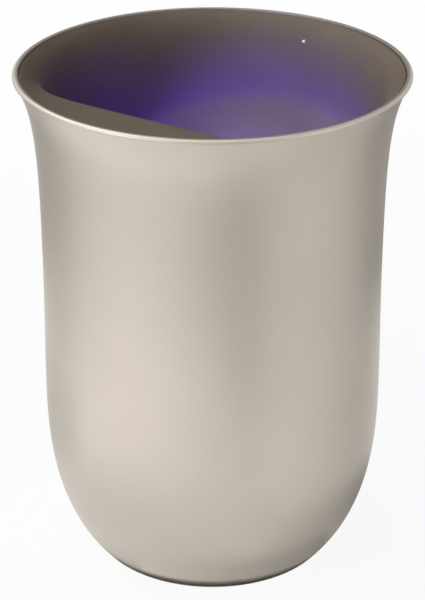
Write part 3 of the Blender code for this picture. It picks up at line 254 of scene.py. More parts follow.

# Ring round the foot, darker step by step to the right: a painted shadow of the cup on the floor,
# seen only in reflections
FOOT_TURN = 6
FOOT_COUNT = 16
FOOT_RADII = (0.047, 0.06)
FOOT_LIFT = 4
FOOT_SHINE = 1.1
FOOT_FADE = 0.05

# Two fans at the right, darkest in the middle, a painted shadow of the cup on the floor seen only
# in reflections: radii, shine there and gain per step
FAN_MIDDLE = 131
FAN_TURN = 8
FAN_HALF_COUNT = 8
FAN_LIFT = 3
FANS = {"shade_near": ((0.047, 0.09), 0.2, 0.09), "shade_far": ((0.09, 0.24), 0.78, 0.07)}

# Upright cards: degrees round from the front, half width, steps, distance, heights and shine
BACK_CARD = ("shade_back", VIEW_TURN + 180, 24, 6, 0.34, (0, 0.95), 0.0)
SIDE_CARD = ("bright_side", 93, 8, 1, 0.8, (0.02, 0.55), 3.5)
TOP_CARD_HEIGHT = 0.75
TOP_CARD_HALF = 0.5
TOP_CARD_REACH = 0.55


def linear(red, green, blue):
    """Screen colour, 0 to 255, as linear light."""
    shares = [c / 255 for c in (red, green, blue)]
    return [c / 12.92 if c <= 0.04045 else ((c + 0.055) / 1.055) ** 2.4 for c in shares]


# Outlines, the same as the solids'


def shell_radius(z):
    """Bowl, waist and flare in one smooth side."""
    share = 1 - (BASE_RADIUS / BELLY_RADIUS) ** BOWL_EXPONENT
    reach = BELLY_HEIGHT / share ** (1 / BOWL_EXPONENT)
    drop = max(0, BELLY_HEIGHT - z) / reach
    bowl = BELLY_RADIUS * (1 - drop ** BOWL_EXPONENT) ** (1 / BOWL_EXPONENT)
    rise = min(1, max(0, (z - BELLY_HEIGHT) / (WAIST_HEIGHT - BELLY_HEIGHT)))
    waist = (WAIST_RADIUS - BELLY_RADIUS) * rise * rise * (3 - 2 * rise)
    flare = (RIM_RADIUS - WAIST_RADIUS) * math.exp((z - HEIGHT) / FLARE_LENGTH)
    return bowl + waist + flare


def inset(radius_at, z, depth):
    """Radius at a depth under a turned surface, measured square to it."""
    slope = (radius_at(z + FIT) - radius_at(z - FIT)) / (2 * FIT)
    return radius_at(z) - depth * math.sqrt(1 + slope * slope)


def shell_inside(z):
    return inset(shell_radius, z, SHELL_WALL)


def spread(start, end, count, lean=1.0):
    """Numbers from start to end; a lean over 1 packs them at the start."""
    return [start + (end - start) * (k / count) ** lean for k in range(count + 1)]


def arc(centre, radius, start, end, count):
    """Points of a round corner, angles in degrees."""
    turns = [math.radians(a) for a in spread(start, end, count)]
    return [(centre[0] + radius * math.cos(a), centre[1] + radius * math.sin(a)) for a in turns]


def shell_outline():
    """Rolled bead on the lip, crease under it, flared side, bowl, base and inside."""
    crease = HEIGHT - BEAD_HEIGHT
    inner_lip = RIM_RADIUS - LIP_WIDTH
    crest = RIM_RADIUS - BEAD_WIDTH
    outer = [(crest + (crest - inner_lip) * math.cos(a), HEIGHT - BEAD_INNER * (1 - math.sin(a)))
             for a in spread(math.pi, math.pi / 2, CREST_STEPS)]
    outer += [(crest + BEAD_WIDTH * math.cos(a), HEIGHT - BEAD_TALL * (1 - math.sin(a)))
              for a in spread(math.pi / 2, -BEAD_UNDERCUT, BEAD_STEPS)[1:]]
    outer += [(shell_radius(crease) - CREASE_SHARE * BEAD_STEP, crease + CREASE_RISE),
              (shell_radius(crease) - BEAD_STEP, crease),
              (shell_radius(crease) - BEAD_STEP, crease - CREASE_FALL)]
    outer += [(shell_radius(z) - BEAD_STEP * math.exp((z - crease) / BEAD_HEIGHT), z)
              for z in spread(crease - BEAD_STEP, BELLY_HEIGHT, SIDE_STEPS, SIDE_LEAN)]
    bottom = SHELL_LIFT + EDGE_ROUND
    outer += [(shell_radius(z), z)
              for z in reversed(spread(bottom, BELLY_HEIGHT, BOWL_STEPS, BOWL_LEAN)[:-1])]
    base = arc((shell_radius(bottom) - EDGE_ROUND, bottom), EDGE_ROUND, -20, -90, BASE_EDGE_STEPS)
    base += [(COVER_SEAT_RADIUS, SHELL_LIFT), (COVER_SEAT_RADIUS, COVER_SEAT_TOP),
             (BASE_HOLE_RADIUS, COVER_SEAT_TOP), (BASE_HOLE_RADIUS, BASE_FLANGE_TOP)]
    ledge = HEIGHT - REBATE_DEPTH
    heights = spread(BASE_FLANGE_TOP, BELLY_HEIGHT, INSIDE_STEPS, INSIDE_LOW_LEAN)
    heights += reversed(spread(ledge, BELLY_HEIGHT, INSIDE_STEPS, INSIDE_HIGH_LEAN)[:-1])
    return outer + base + [(shell_inside(z), z) for z in heights] + [(inner_lip, ledge)]


def liner_radius(z):
    """Basin's wall, a constant gap inside the shell until it sweeps out to the flange."""
    depth = SHELL_WALL + LINER_GAP + LINER_WALL
    top = HEIGHT - LINER_DROP
    flange = RIM_RADIUS - LIP_WIDTH - FIT - FLANGE_CHAMFER
    sweep = (flange - inset(shell_radius, top, depth)) * math.exp((z - top) / LINER_SWEEP)
    return inset(shell_radius, z, depth) + sweep


def liner_outer_radius(z):
    slope = (liner_radius(z + FIT) - liner_radius(z - FIT)) / (2 * FIT)
    return min(liner_radius(z) + LINER_WALL * math.sqrt(1 + slope * slope),
               shell_inside(z) - FIT)


def shelf_height():
    return HEIGHT - SHELF_DROP


def front_wall(z):
    edge = shelf_height()
    share = (edge - z) / (edge - FLOOR_HEIGHT)
    rounding = SHELF_EDGE_ROUND * math.exp(-max(0, edge - z) / SHELF_EDGE_ROUND)
    return SHELF_EDGE - (SHELF_EDGE - FRONT_WALL_FOOT) * share + rounding


def rest_plane(z):
    return REST_FOOT + (z - FLOOR_HEIGHT) * math.tan(REST_LEAN)


def shoulder(z, depth):
    over = max(0, z - SHOULDER_HEIGHT) / SHOULDER_RISE
    return depth * over * over


def back_wall(z):
    return rest_plane(z) + shoulder(z, SHOULDER_DEPTH)


def side_wall(z):
    straight = SLOT_HALF_WIDTH + (z - FLOOR_HEIGHT) * math.tan(SLOT_SIDE_LEAN)
    return straight + shoulder(z, SHOULDER_SPREAD)


def soft_least(values, power):
    """Least of some values, with a soft turn from one to the next."""
    least = min(values)
    return least * sum((least / v) ** power for v in values) ** (-1 / power)


def section(radius, front, back, side):
    """Level cut through the liner: a circle cropped by the slot's four walls."""
    reach_back = min(back, radius)
    reach_front = min(front, radius)
    centre = (reach_back - reach_front) / 2
    tall = (reach_back + reach_front) / 2
    wide = min(side, radius)
    points = []
    for k in range(LINER_STEPS):
        turn = 2 * math.pi * (k + 0.5) / LINER_STEPS
        ray = Vector((wide * math.cos(turn), tall * math.sin(turn))).normalized()
        along = centre * ray.y
        to_circle = -along + math.sqrt(radius ** 2 - (centre * ray.x) ** 2)
        limits = [to_circle, side / abs(ray.x)]
        if ray.y > 0:
            limits.append((back - centre) / ray.y)
        far = soft_least(limits, BASIN_BLEND)
        if ray.y < 0:
            far = soft_least([far, (front + centre) / -ray.y], EDGE_BLEND)
        points.append((far * ray.x, centre + far * ray.y))
    return points


def wall_section(z, thickness=0.0):
    radius = liner_outer_radius(z) if thickness else liner_radius(z)
    return section(radius, front_wall(z) + thickness,
                   back_wall(z) + thickness / math.cos(REST_LEAN), side_wall(z) + thickness)


def open_section(radius):
    """Section with all four walls out of reach."""
    return section(radius, 2 * radius, 2 * radius, 2 * radius)


def flat_ring(radius, z):
    return [(x, y, z) for x, y in open_section(radius)]


def swept_rings(rim_radius, top, bottom, thickness, radius_at, count):
    """Rings that turn the round rim into the section at the shelf."""
    rim = open_section(rim_radius)
    edge = wall_section(bottom, thickness)
    rings = []
    for share in spread(0, 1, count)[1:-1]:
        z = top + (bottom - top) * share
        ring = []
        for a, b in zip(rim, edge):
            ray = Vector(a).normalized().lerp(Vector(b).normalized(), share).normalized()
            drawn_in = (radius_at(bottom) - Vector(b).length) * share ** SWEEP_LEAN
            ring.append((*(ray * (radius_at(z) - drawn_in)), z))
        rings.append(ring)
    return rings


def shrunk(ring, amount, z):
    """Ring at another height, drawn in by the same amount on all sides."""
    middle = sum((Vector(p[:2]) for p in ring), Vector((0, 0))) / len(ring)
    tall = max(p[1] for p in ring) - middle.y
    wide = max(abs(p[0]) for p in ring)
    drawn = []
    for p in ring:
        away = Vector(p[:2]) - middle
        drawn.append((middle.x + away.x * (1 - amount / wide),
                      middle.y + away.y * (1 - amount / tall), z))
    return drawn


def wall_rings(heights, thickness=0.0):
    return [[(x, y, z) for x, y in wall_section(z, thickness)] for z in heights]


def liner_inside():
    """Flange, basin, shelf, slot and floor, from the top down."""
    top = HEIGHT - LINER_DROP
    flange = RIM_RADIUS - LIP_WIDTH - FIT
    edge = shelf_height()
    slot_foot = FLOOR_HEIGHT + FLOOR_FILLET
    rings = [flat_ring(flange, top - FLANGE_CHAMFER)]
    rings += [flat_ring(r, z) for r, z in arc((flange - FLANGE_CHAMFER, top - FLANGE_CHAMFER),
                                             FLANGE_CHAMFER, 20, 90, FLANGE_STEPS)]
    rings += swept_rings(flange - FLANGE_CHAMFER, top, edge, 0.0, liner_radius, SWEEP_STEPS)
    heights = [edge - depth for depth in SHELF_EDGE_DEPTHS]
    heights += spread(heights[-1] - BASIN_START, SHOULDER_HEIGHT, BASIN_STEPS)
    heights += spread(SHOULDER_HEIGHT, slot_foot, SLOT_STEPS)[1:]
    rings += wall_rings(heights)
    last = rings[-1]
    for turn in spread(0, math.pi / 2, FILLET_STEPS)[1:]:
        rings.append(shrunk(last, FLOOR_FILLET * (1 - math.cos(turn)),
                            FLOOR_HEIGHT + FLOOR_FILLET * (1 - math.sin(turn))))
    return rings


def liner_outside():
    """Flange's underside and the hidden side of the wall, from the top down."""
    flange = RIM_RADIUS - LIP_WIDTH - FIT
    under = HEIGHT - LINER_DROP - FLANGE_CHAMFER - FLANGE_THICKNESS + FIT
    neck = shell_inside(under - FIT) - FIT
    edge = shelf_height() - LINER_WALL
    rings = [flat_ring(flange, under), flat_ring(neck, under)]
    rings += swept_rings(neck, under, edge, LINER_WALL, liner_outer_radius, SWEEP_STEPS_BEHIND)
    heights = [edge] + spread(edge - 3 * SHELF_EDGE_ROUND, SHOULDER_HEIGHT, BASIN_STEPS_BEHIND)
    heights += spread(SHOULDER_HEIGHT, FLOOR_HEIGHT + FLOOR_FILLET, SLOT_STEPS_BEHIND)[1:]
    rings += wall_rings(heights, LINER_WALL)
    rings.append(shrunk(rings[-1], FLOOR_FILLET, FLOOR_HEIGHT - LINER_WALL))
    return rings


# Mesh helpers

SMOOTH_ANGLE = math.radians(32)
BEVEL_ANGLE = math.radians(40)


def smooth_over(mesh):
    mesh.shade_smooth()
    mesh.set_sharp_from_angle(angle=SMOOTH_ANGLE)


def new_object(name, mesh, finish=None, smooth=True):
    item = bpy.data.objects.new(name, mesh)
    bpy.context.scene.collection.objects.link(item)
    if finish:
        mesh.materials.clear()
        mesh.materials.append(finish)
    if smooth:
        smooth_over(mesh)
    return item


def mesh_from(name, shape):
    mesh = bpy.data.meshes.new(name)
    shape.to_mesh(mesh)
    shape.free()
    return mesh


def mesh_of_rings(name, rings):
    """Skin a run of closed rings and close both ends."""
    shape = bmesh.new()
    rows = [[shape.verts.new(p) for p in ring] for ring in rings]
    count = len(rows[0])
    for lower, upper in zip(rows, rows[1:]):
        for k in range(count):
            n = (k + 1) % count
            shape.faces.new((lower[k], lower[n], upper[n], upper[k]))
    shape.faces.new(rows[-1])
    shape.faces.new(list(reversed(rows[0])))
    bmesh.ops.recalc_face_normals(shape, faces=shape.faces)
    return mesh_from(name, shape)


def turned(name, profile, steps, finish=None):
    """Turn an outline of (radius, height) about Z; a radius of 0 makes a pole."""
    shape = bmesh.new()
    rows = []
    for radius, z in profile:
        if radius <= 0:
            rows.append([shape.verts.new((0, 0, z))])
        else:
            turns = [2 * math.pi * k / steps for k in range(steps)]
            rows.append([shape.verts.new((radius * math.cos(a), radius * math.sin(a), z))
                         for a in turns])
    closed = profile[0][0] > 0
    pairs = list(zip(rows, rows[1:])) + ([(rows[-1], rows[0])] if closed else [])
    for a, b in pairs:
        for k in range(steps):
            n = (k + 1) % steps
            corners = [a[k % len(a)], a[n % len(a)], b[n % len(b)], b[k % len(b)]]
            unique = list(dict.fromkeys(corners))
            if len(unique) > 2:
                shape.faces.new(unique)
    bmesh.ops.recalc_face_normals(shape, faces=shape.faces)
    return new_object(name, mesh_from(name, shape), finish)


def baked(item):
    """Apply the modifiers."""
    bpy.context.view_layer.update()
    shown = item.evaluated_get(bpy.context.evaluated_depsgraph_get())
    item_mesh = bpy.data.meshes.new_from_object(shown)
    item.modifiers.clear()
    item.data = item_mesh
    smooth_over(item_mesh)


def cut(item, tools, operation="DIFFERENCE"):
    """Cut, join or crop an object by others, which go."""
    for tool in tools:
        step = item.modifiers.new(tool.name, "BOOLEAN")
        step.operation = operation
        step.solver = "EXACT"
        step.object = tool
    baked(item)
    for tool in tools:
        bpy.data.objects.remove(tool, do_unlink=True)


def softened(item, width, steps=3):
    """Round the sharp edges."""
    edge = item.modifiers.new("edges", "BEVEL")
    edge.width = width
    edge.segments = steps
    edge.limit_method = "ANGLE"
    edge.angle_limit = BEVEL_ANGLE
    baked(item)


def circle(radius, steps):
    return arc((0, 0), radius, 0, 360, steps)[:-1]


def rounded(half_width, half_height, radius, steps=12):
    points = []
    for sx, sy, start in ((1, 1, 0), (-1, 1, 90), (-1, -1, 180), (1, -1, 270)):
        points += arc((sx * (half_width - radius), sy * (half_height - radius)),
                      radius, start, start + 90, steps)
    return points


def bar(name, points, low, high, place, finish=None):
    """Prism of an outline in the XY plane of a placing matrix."""
    rings = [[place @ Vector((x, y, z)) for x, y in points] for z in (low, high)]
    return new_object(name, mesh_of_rings(name, rings), finish)


def facing_back(z):
    """Local Z to +Y at a height, local Y to +Z."""
    upright = Matrix.Rotation(math.pi / 2, 4, "X").inverted() @ Matrix.Rotation(math.pi, 4, "Z")
    return Matrix.Translation((0, 0, z)) @ upright


# Materials

NOISE_LOW = 0.3
NOISE_HIGH = 0.7
BUMP_DISTANCE = 0.1 * MM
MOULD_LIGHT, MOULD_HAZE, MOULD_SHADE = 1.12, 0.002, 0.88
MOULD_SMOOTHER, MOULD_ROUGHER = 0.06, 0.08
STREAK_SHADE, STREAK_SMOOTHER, STREAK_ROUGHER = 0.8, 0.08, 0.1
TRACK_SCALE, TRACK_GAP = 420, 0.03
TRACK_LIGHT, TRACK_EDGE, TRACK_HAZE = 1.25, 1.8, 0.01
GLOW_SHADE = 0.85


class Finish:
    """Node material with short helpers."""

    def __init__(self, name):
        self.mat = bpy.data.materials.new(name)
        self.mat.use_nodes = True
        self.tree = self.mat.node_tree
        self.shader = self.tree.nodes["Principled BSDF"]

    def put(self, socket, value):
        self.shader.inputs[socket].default_value = value
        return self

    def node(self, kind, **settings):
        made = self.tree.nodes.new(kind)
        for key, value in settings.items():
            setattr(made, key, value)
        return made

    def link(self, source, target):
        self.tree.links.new(source, target)

    def place(self):
        return self.node("ShaderNodeNewGeometry").outputs["Position"]

    def noise(self, scale, detail=2.0, roughness=0.5, stretch=None):
        made = self.node("ShaderNodeTexNoise")
        made.inputs["Scale"].default_value = scale
        made.inputs["Detail"].default_value = detail
        made.inputs["Roughness"].default_value = roughness
        source = self.place()
        if stretch:
            mapping = self.node("ShaderNodeMapping")
            mapping.inputs["Scale"].default_value = stretch
            self.link(source, mapping.inputs["Vector"])
            source = mapping.outputs["Vector"]
        self.link(source, made.inputs["Vector"])
        return made.outputs["Fac"]

    def scaled(self, source, low, high):
        """Spread a noise from low to high."""
        made = self.node("ShaderNodeMapRange")
        ends = {"From Min": NOISE_LOW, "From Max": NOISE_HIGH, "To Min": low, "To Max": high}
        for socket, value in ends.items():
            made.inputs[socket].default_value = value
        self.link(source, made.inputs["Value"])
        return made.outputs["Result"]

    def colour_by(self, factor, first, second):
        """Base colour between two, by a factor."""
        self.link(self.mix(factor, first, second), self.shader.inputs["Base Color"])

    def roughness_by(self, source, low, high):
        self.link(self.scaled(source, low, high), self.shader.inputs["Roughness"])

    def mix(self, factor, first, second):
        """Colour between two, by a factor."""
        made = self.node("ShaderNodeMix", data_type="RGBA")
        self.link(factor, made.inputs["Factor"])
        for socket, value in (("A", first), ("B", second)):
            target = [s for s in made.inputs if s.name == socket and s.type == "RGBA"][0]
            if isinstance(value, bpy.types.NodeSocket):
                self.link(value, target)
            else:
                target.default_value = (*value, 1)
        return [s for s in made.outputs if s.type == "RGBA"][0]

    def bump(self, heights):
        """Bumps from one or more (height, strength) pairs."""
        last = None
        for height, strength in heights:
            made = self.node("ShaderNodeBump")
            made.inputs["Strength"].default_value = strength
            made.inputs["Distance"].default_value = BUMP_DISTANCE
            self.link(height, made.inputs["Height"])
            if last:
                self.link(last, made.inputs["Normal"])
            last = made.outputs["Normal"]
        self.link(last, self.shader.inputs["Normal"])


def champagne():
    """Satin metal, bead blasted, with a faint cloudiness."""
    made = Finish("champagne_satin")
    made.put("Metallic", 0.85).put("Specular IOR Level", 0.5)
    cloud = made.noise(18, detail=3, roughness=0.55)
    grain = made.noise(2600, detail=2, roughness=0.6)
    light, shade, fleck = linear(190, 182, 171), linear(185, 177, 166), linear(171, 163, 152)
    base = made.mix(made.scaled(cloud, 0, 1), light, shade)
    made.colour_by(made.scaled(grain, 0, 0.35), base, fleck)
    made.roughness_by(cloud, 0.40, 0.46)
    made.bump([(grain, 0.25), (made.noise(900, detail=3, roughness=0.6), 0.12)])
    return made.mat


def moulded(name, colour, roughness, grain, depth, gloss=0.5):
    """Matte moulding with a fine eroded grain."""
    made = Finish(name)
    made.put("Specular IOR Level", gloss)
    cloud = made.noise(25, detail=3)
    fine = made.noise(grain, detail=3, roughness=0.6)
    lighter = [min(1, c * MOULD_LIGHT + MOULD_HAZE) for c in colour]
    darker = [c * MOULD_SHADE for c in colour]
    base = made.mix(made.scaled(cloud, 0, 1), darker, lighter)
    made.colour_by(made.scaled(fine, 0, 0.3), base, darker)
    made.roughness_by(fine, roughness - MOULD_SMOOTHER, roughness + MOULD_ROUGHER)
    made.bump([(fine, depth), (made.noise(grain / 5), depth / 3)])
    return made.mat


def metal(name, colour, roughness, streak):
    """Drawn or plated metal with fine streaks."""
    made = Finish(name)
    made.put("Metallic", 1.0)
    lines = made.noise(700, detail=3, roughness=0.6, stretch=streak)
    darker = [c * STREAK_SHADE for c in colour]
    made.colour_by(made.scaled(lines, 0, 1), darker, colour)
    made.roughness_by(lines, roughness - STREAK_SMOOTHER, roughness + STREAK_ROUGHER)
    made.bump([(lines, 0.15)])
    return made.mat


def board(name, colour):
    """Solder mask over faint tracks."""
    made = Finish(name)
    made.put("Coat Weight", 0.3).put("Coat Roughness", 0.2)
    lighter = [c * TRACK_LIGHT for c in colour]
    lightest = [c * TRACK_EDGE + TRACK_HAZE for c in colour]
    tracks = made.node("ShaderNodeTexBrick")
    for socket, value in (("Scale", TRACK_SCALE), ("Mortar Size", TRACK_GAP),
                          ("Color1", (*colour, 1)), ("Color2", (*lighter, 1)),
                          ("Mortar", (*lightest, 1))):
        tracks.inputs[socket].default_value = value
    made.link(made.place(), tracks.inputs["Vector"])
    made.link(tracks.outputs["Color"], made.shader.inputs["Base Color"])
    made.roughness_by(made.noise(500), 0.35, 0.5)
    made.bump([(tracks.outputs["Fac"], 0.2)])
    return made.mat


def glass():
    """Clear plate with a faint violet tint."""
    made = Finish("window_clear")
    made.put("Transmission Weight", 1.0).put("IOR", 1.46)
    made.put("Base Color", (0.93, 0.9, 1.0, 1))
    made.roughness_by(made.noise(60), 0.02, 0.06)
    return made.mat


def glowing(name, colour, light, strength):
    """Lens or lamp that shines, a little uneven over its face."""
    made = Finish(name)
    darker = [c * GLOW_SHADE for c in colour]
    made.colour_by(made.scaled(made.noise(900), 0, 1), darker, colour)
    made.put("Roughness", 0.3)
    made.put("Emission Color", (*light, 1)).put("Emission Strength", strength)
    return made.mat


CHAMPAGNE = champagne()
TAUPE = moulded("taupe_matte", linear(110, 99, 86), roughness=0.62, grain=1700, depth=0.3,
                gloss=0.25)
DARK = moulded("dark_moulding", linear(42, 40, 39), roughness=0.55, grain=1400, depth=0.35)
RUBBER = moulded("foot_rubber_matte", linear(34, 33, 33), roughness=0.8, grain=900, depth=0.5)
SILICONE = moulded("rest_silicone_matte", linear(66, 60, 58), roughness=0.7, grain=1200, depth=0.3)
GLASS = glass()
LAMP = glowing("lamp_violet", (0.75, 0.7, 0.85), light=(0.25, 0.08, 1.0), strength=6.0)
PILOT = glowing("pilot_white", (0.72, 0.7, 0.62), light=(1.0, 0.95, 0.9), strength=0.25)
GREEN = board("solder_mask", linear(20, 84, 56))
STEEL = metal("zinc_plated", linear(176, 178, 182), roughness=0.32, streak=(1, 1, 25))
COPPER = metal("enamelled_copper", linear(196, 118, 78), roughness=0.3, streak=(25, 25, 1))
GOLD = metal("gold_plated", linear(214, 176, 98), roughness=0.25, streak=(20, 1, 1))
CERAMIC = moulded("lamp_ceramic", linear(214, 208, 194), roughness=0.45, grain=1600, depth=0.15)
FERRITE = moulded("ferrite_sintered", linear(62, 62, 66), roughness=0.5, grain=1000, depth=0.3)
ALUMINIUM = metal("cast_aluminium", linear(182, 183, 185), roughness=0.42, streak=(1, 1, 1))
SLEEVE = moulded("lead_sleeve_matte", linear(52, 52, 54), roughness=0.5, grain=1800, depth=0.2)

SLOT_FINISH = {"champagne_metal": CHAMPAGNE, "taupe_plastic": TAUPE, "dark_plastic": DARK,
               "foot_rubber": RUBBER, "rest_silicone": SILICONE, "window_glass": GLASS,
               "lamp_body": LAMP, "pilot_lens": PILOT, "board_green": GREEN,
               "zinc_steel": STEEL, "coil_copper": COPPER, "ferrite": FERRITE,
               "aluminium": ALUMINIUM, "lead_sleeve": SLEEVE}


def dress_frame():
    """Give every solid of the frame its finish."""
    slots = {s["node"]: s["material_slot"] for s in frame["record"]["subparts"]}
    for name, node in frame["nodes"].items():
        for part in [node] + list(node.children_recursive):
            if part.type == "MESH":
                part.data.materials.clear()
                part.data.materials.append(SLOT_FINISH[slots[name]])


# Pieces


def ride_on(item, body, slot, *nodes):
    """Put a piece on its body, in place of some nodes."""
    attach(item, body)
    if nodes:
        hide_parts(*nodes)


def middle_of(node):
    low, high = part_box(node)
    return (low + high) / 2


def turned_back(name, profile, steps, finish, z):
    """Turned about a line along +Y at a height; the outline runs outwards along it."""
    item = turned(name, profile, steps, finish)
    item.data.transform(facing_back(z))
    return item


def build_shell():
    """Turned wall with the openings for inlet and button."""
    shell = turned("shell_skin", shell_outline(), SHELL_STEPS, CHAMPAGNE)
    mouth = rounded(BEZEL_WIDTH / 2, BEZEL_TALL / 2, BEZEL_TALL / 2 - SLACK)
    inlet = bar("inlet_cutter", mouth, TONGUE_REACH, RIM_RADIUS,
                facing_back(middle_of("inlet_bezel").z))
    button = bar("button_cutter", circle(BUTTON_RADIUS + FIT, BUTTON_HOLE_STEPS),
                 BELLY_RADIUS / 2, RIM_RADIUS, facing_back(BUTTON_HEIGHT))
    cut(shell, [inlet, button])
    ride_on(shell, "housing", "champagne_metal", "outer_shell")


def window_place():
    """Local XY on the outer face of the liner's front wall, at the window."""
    drop = shelf_height() - FLOOR_HEIGHT
    lean = math.atan((SHELF_EDGE - FRONT_WALL_FOOT) / drop)
    front = -(front_wall(WINDOW_HEIGHT) + LINER_WALL)
    return Matrix.Translation((0, front, WINDOW_HEIGHT)) @ Matrix.Rotation(
        math.pi / 2 + lean, 4, "X")


def build_liner():
    """Moulded wall with the window's opening and the indicator's bore."""
    rings = list(reversed(liner_outside())) + liner_inside()
    liner = new_object("liner_skin", mesh_of_rings("liner_skin", rings), TAUPE)
    window = rounded(WINDOW_OPEN_WIDTH / 2, WINDOW_OPEN_TALL / 2, 2 * LINER_WALL)
    opening = bar("window_cutter", window, -3 * LINER_WALL, FIT, window_place())
    height = HEIGHT - PILOT_DROP
    face = liner_radius(height)
    pilot = bar("pilot_cutter", circle(PILOT_HOLE_RADIUS, PILOT_HOLE_STEPS),
                face - LINER_WALL, face + 3 * LINER_WALL, facing_back(height))
    cut(liner, [opening, pilot])
    ride_on(liner, "housing", "taupe_plastic", "inner_liner")


def build_button():
    """Cap with a crowned face, its flange behind the shell and the stem."""
    crown = shell_radius(BUTTON_HEIGHT) + BUTTON_PROUD
    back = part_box("start_button")[0].y + BUTTON_STEM_LENGTH
    face = back + BUTTON_FLANGE_THICKNESS
    flat = BUTTON_RADIUS - BUTTON_SHOULDER
    outline = [(r, crown - BUTTON_CROWN * (r / flat) ** 2) for r in spread(0, flat, 10)]
    outline += arc((flat, crown - BUTTON_CROWN - BUTTON_SHOULDER), BUTTON_SHOULDER, 78, 0, 9)
    outline += [(BUTTON_RADIUS, face), (BUTTON_FLANGE_RADIUS, face), (BUTTON_FLANGE_RADIUS, back),
                (BUTTON_STEM_RADIUS, back), (BUTTON_STEM_RADIUS, back - BUTTON_STEM_LENGTH),
                (0, back - BUTTON_STEM_LENGTH)]
    cap = turned_back("button_cap", outline, BUTTON_STEPS, CHAMPAGNE, BUTTON_HEIGHT)
    ride_on(cap, "button", "champagne_metal", "start_button")


def inlet_half():
    low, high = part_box("power_inlet")
    return ((high.x - low.x) / 2, (high.z - low.z) / 2)


def build_bezel():
    """Lining of the inlet's opening, flush with the bowl and a little set back."""
    z = middle_of("inlet_bezel").z
    place = facing_back(z)
    half = (BEZEL_WIDTH / 2 - FIT, BEZEL_TALL / 2 - FIT)
    lining = bar("bezel_lining", rounded(*half, half[1] - SLACK), TONGUE_REACH + FIT,
                 BELLY_RADIUS, place, DARK)
    skin = [(0, z + BEZEL_TALL)]
    skin += [(shell_radius(h) - FIT, h) for h in spread(z + BEZEL_TALL, z - BEZEL_TALL, 24)]
    envelope = turned("bezel_envelope", skin + [(0, z - BEZEL_TALL)], SHELL_STEPS)
    cut(lining, [envelope], "INTERSECT")
    wide, tall = inlet_half()
    throat = bar("bezel_throat", rounded(wide + FIT, tall + FIT, tall + FIT - SLACK), 0,
                 RIM_RADIUS, place)
    cut(lining, [throat])
    softened(lining, FIT / 2)
    ride_on(lining, "housing", "dark_plastic", "inlet_bezel")


def build_inlet():
    """Drawn steel mouth, the tongue in it and contacts on both faces of the tongue."""
    low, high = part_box("power_inlet")
    place = facing_back((low.z + high.z) / 2)
    wide, tall = inlet_half()
    mouth = bar("inlet_mouth", rounded(wide, tall, INLET_ROUNDNESS * tall), low.y, high.y, place,
                STEEL)
    inner = (wide - INLET_WALL, tall - INLET_WALL)
    root, tip = high.y - INLET_DEPTH, high.y - INLET_WALL
    hollow = bar("inlet_hollow", rounded(*inner, INLET_ROUNDNESS * inner[1]), root, high.y + FIT,
                 place)
    cut(mouth, [hollow])
    softened(mouth, INLET_WALL / 4)
    ride_on(mouth, "housing", "zinc_steel", "power_inlet")
    reach = wide - 4 * tall / 3
    tongue = bar("inlet_tongue", rounded(reach, INLET_TONGUE / 2, INLET_TONGUE / 5), root, tip,
                 place, DARK)
    softened(tongue, INLET_TONGUE / 8)
    ride_on(tongue, "housing", "dark_plastic")
    build_contacts(place, tip - INLET_WALL - CONTACT_LENGTH / 2)


def build_contacts(place, depth):
    """Two rows of thin gold strips on the tongue."""
    shape = bmesh.new()
    size = (CONTACT_WIDTH, 2 * CONTACT_PROUD, CONTACT_LENGTH)
    for face in (-1, 1):
        for k in range(CONTACT_COUNT):
            x = (k - (CONTACT_COUNT - 1) / 2) * CONTACT_PITCH
            block = bmesh.ops.create_cube(shape, size=1)["verts"]
            bmesh.ops.scale(shape, verts=block, vec=size)
            bmesh.ops.translate(shape, verts=block, vec=(x, face * INLET_TONGUE / 2, depth))
    mesh = mesh_from("inlet_contacts", shape)
    mesh.transform(place)
    contacts = new_object("inlet_contacts", mesh, GOLD)
    softened(contacts, CONTACT_PROUD / 3, 2)
    ride_on(contacts, "housing", "zinc_steel")


def build_foot():
    """Rubber ring with rounded edges and two grooves in its sole."""
    edge = FOOT_EDGE
    outline = [(FOOT_OUTER_RADIUS, FOOT_THICKNESS)]
    outline += arc((FOOT_OUTER_RADIUS - edge, edge), edge, 0, -90, 8)
    width = FOOT_OUTER_RADIUS - FOOT_INNER_RADIUS
    for share in (2 / 3, 1 / 3):
        middle = FOOT_INNER_RADIUS + width * share
        outline += [(middle - FOOT_GROOVE * math.cos(a), FOOT_GROOVE * math.sin(a))
                    for a in spread(math.pi, 0, 8)]
    outline += arc((FOOT_INNER_RADIUS + edge, edge), edge, -90, -180, 8)
    outline += [(FOOT_INNER_RADIUS, FOOT_THICKNESS)]
    ride_on(turned("foot_sole", outline, BASE_STEPS, RUBBER), "housing", "foot_rubber", "foot_ring")


def screw_places():
    return [middle_of("base_screw_%d" % (k + 1)) for k in range(4)]


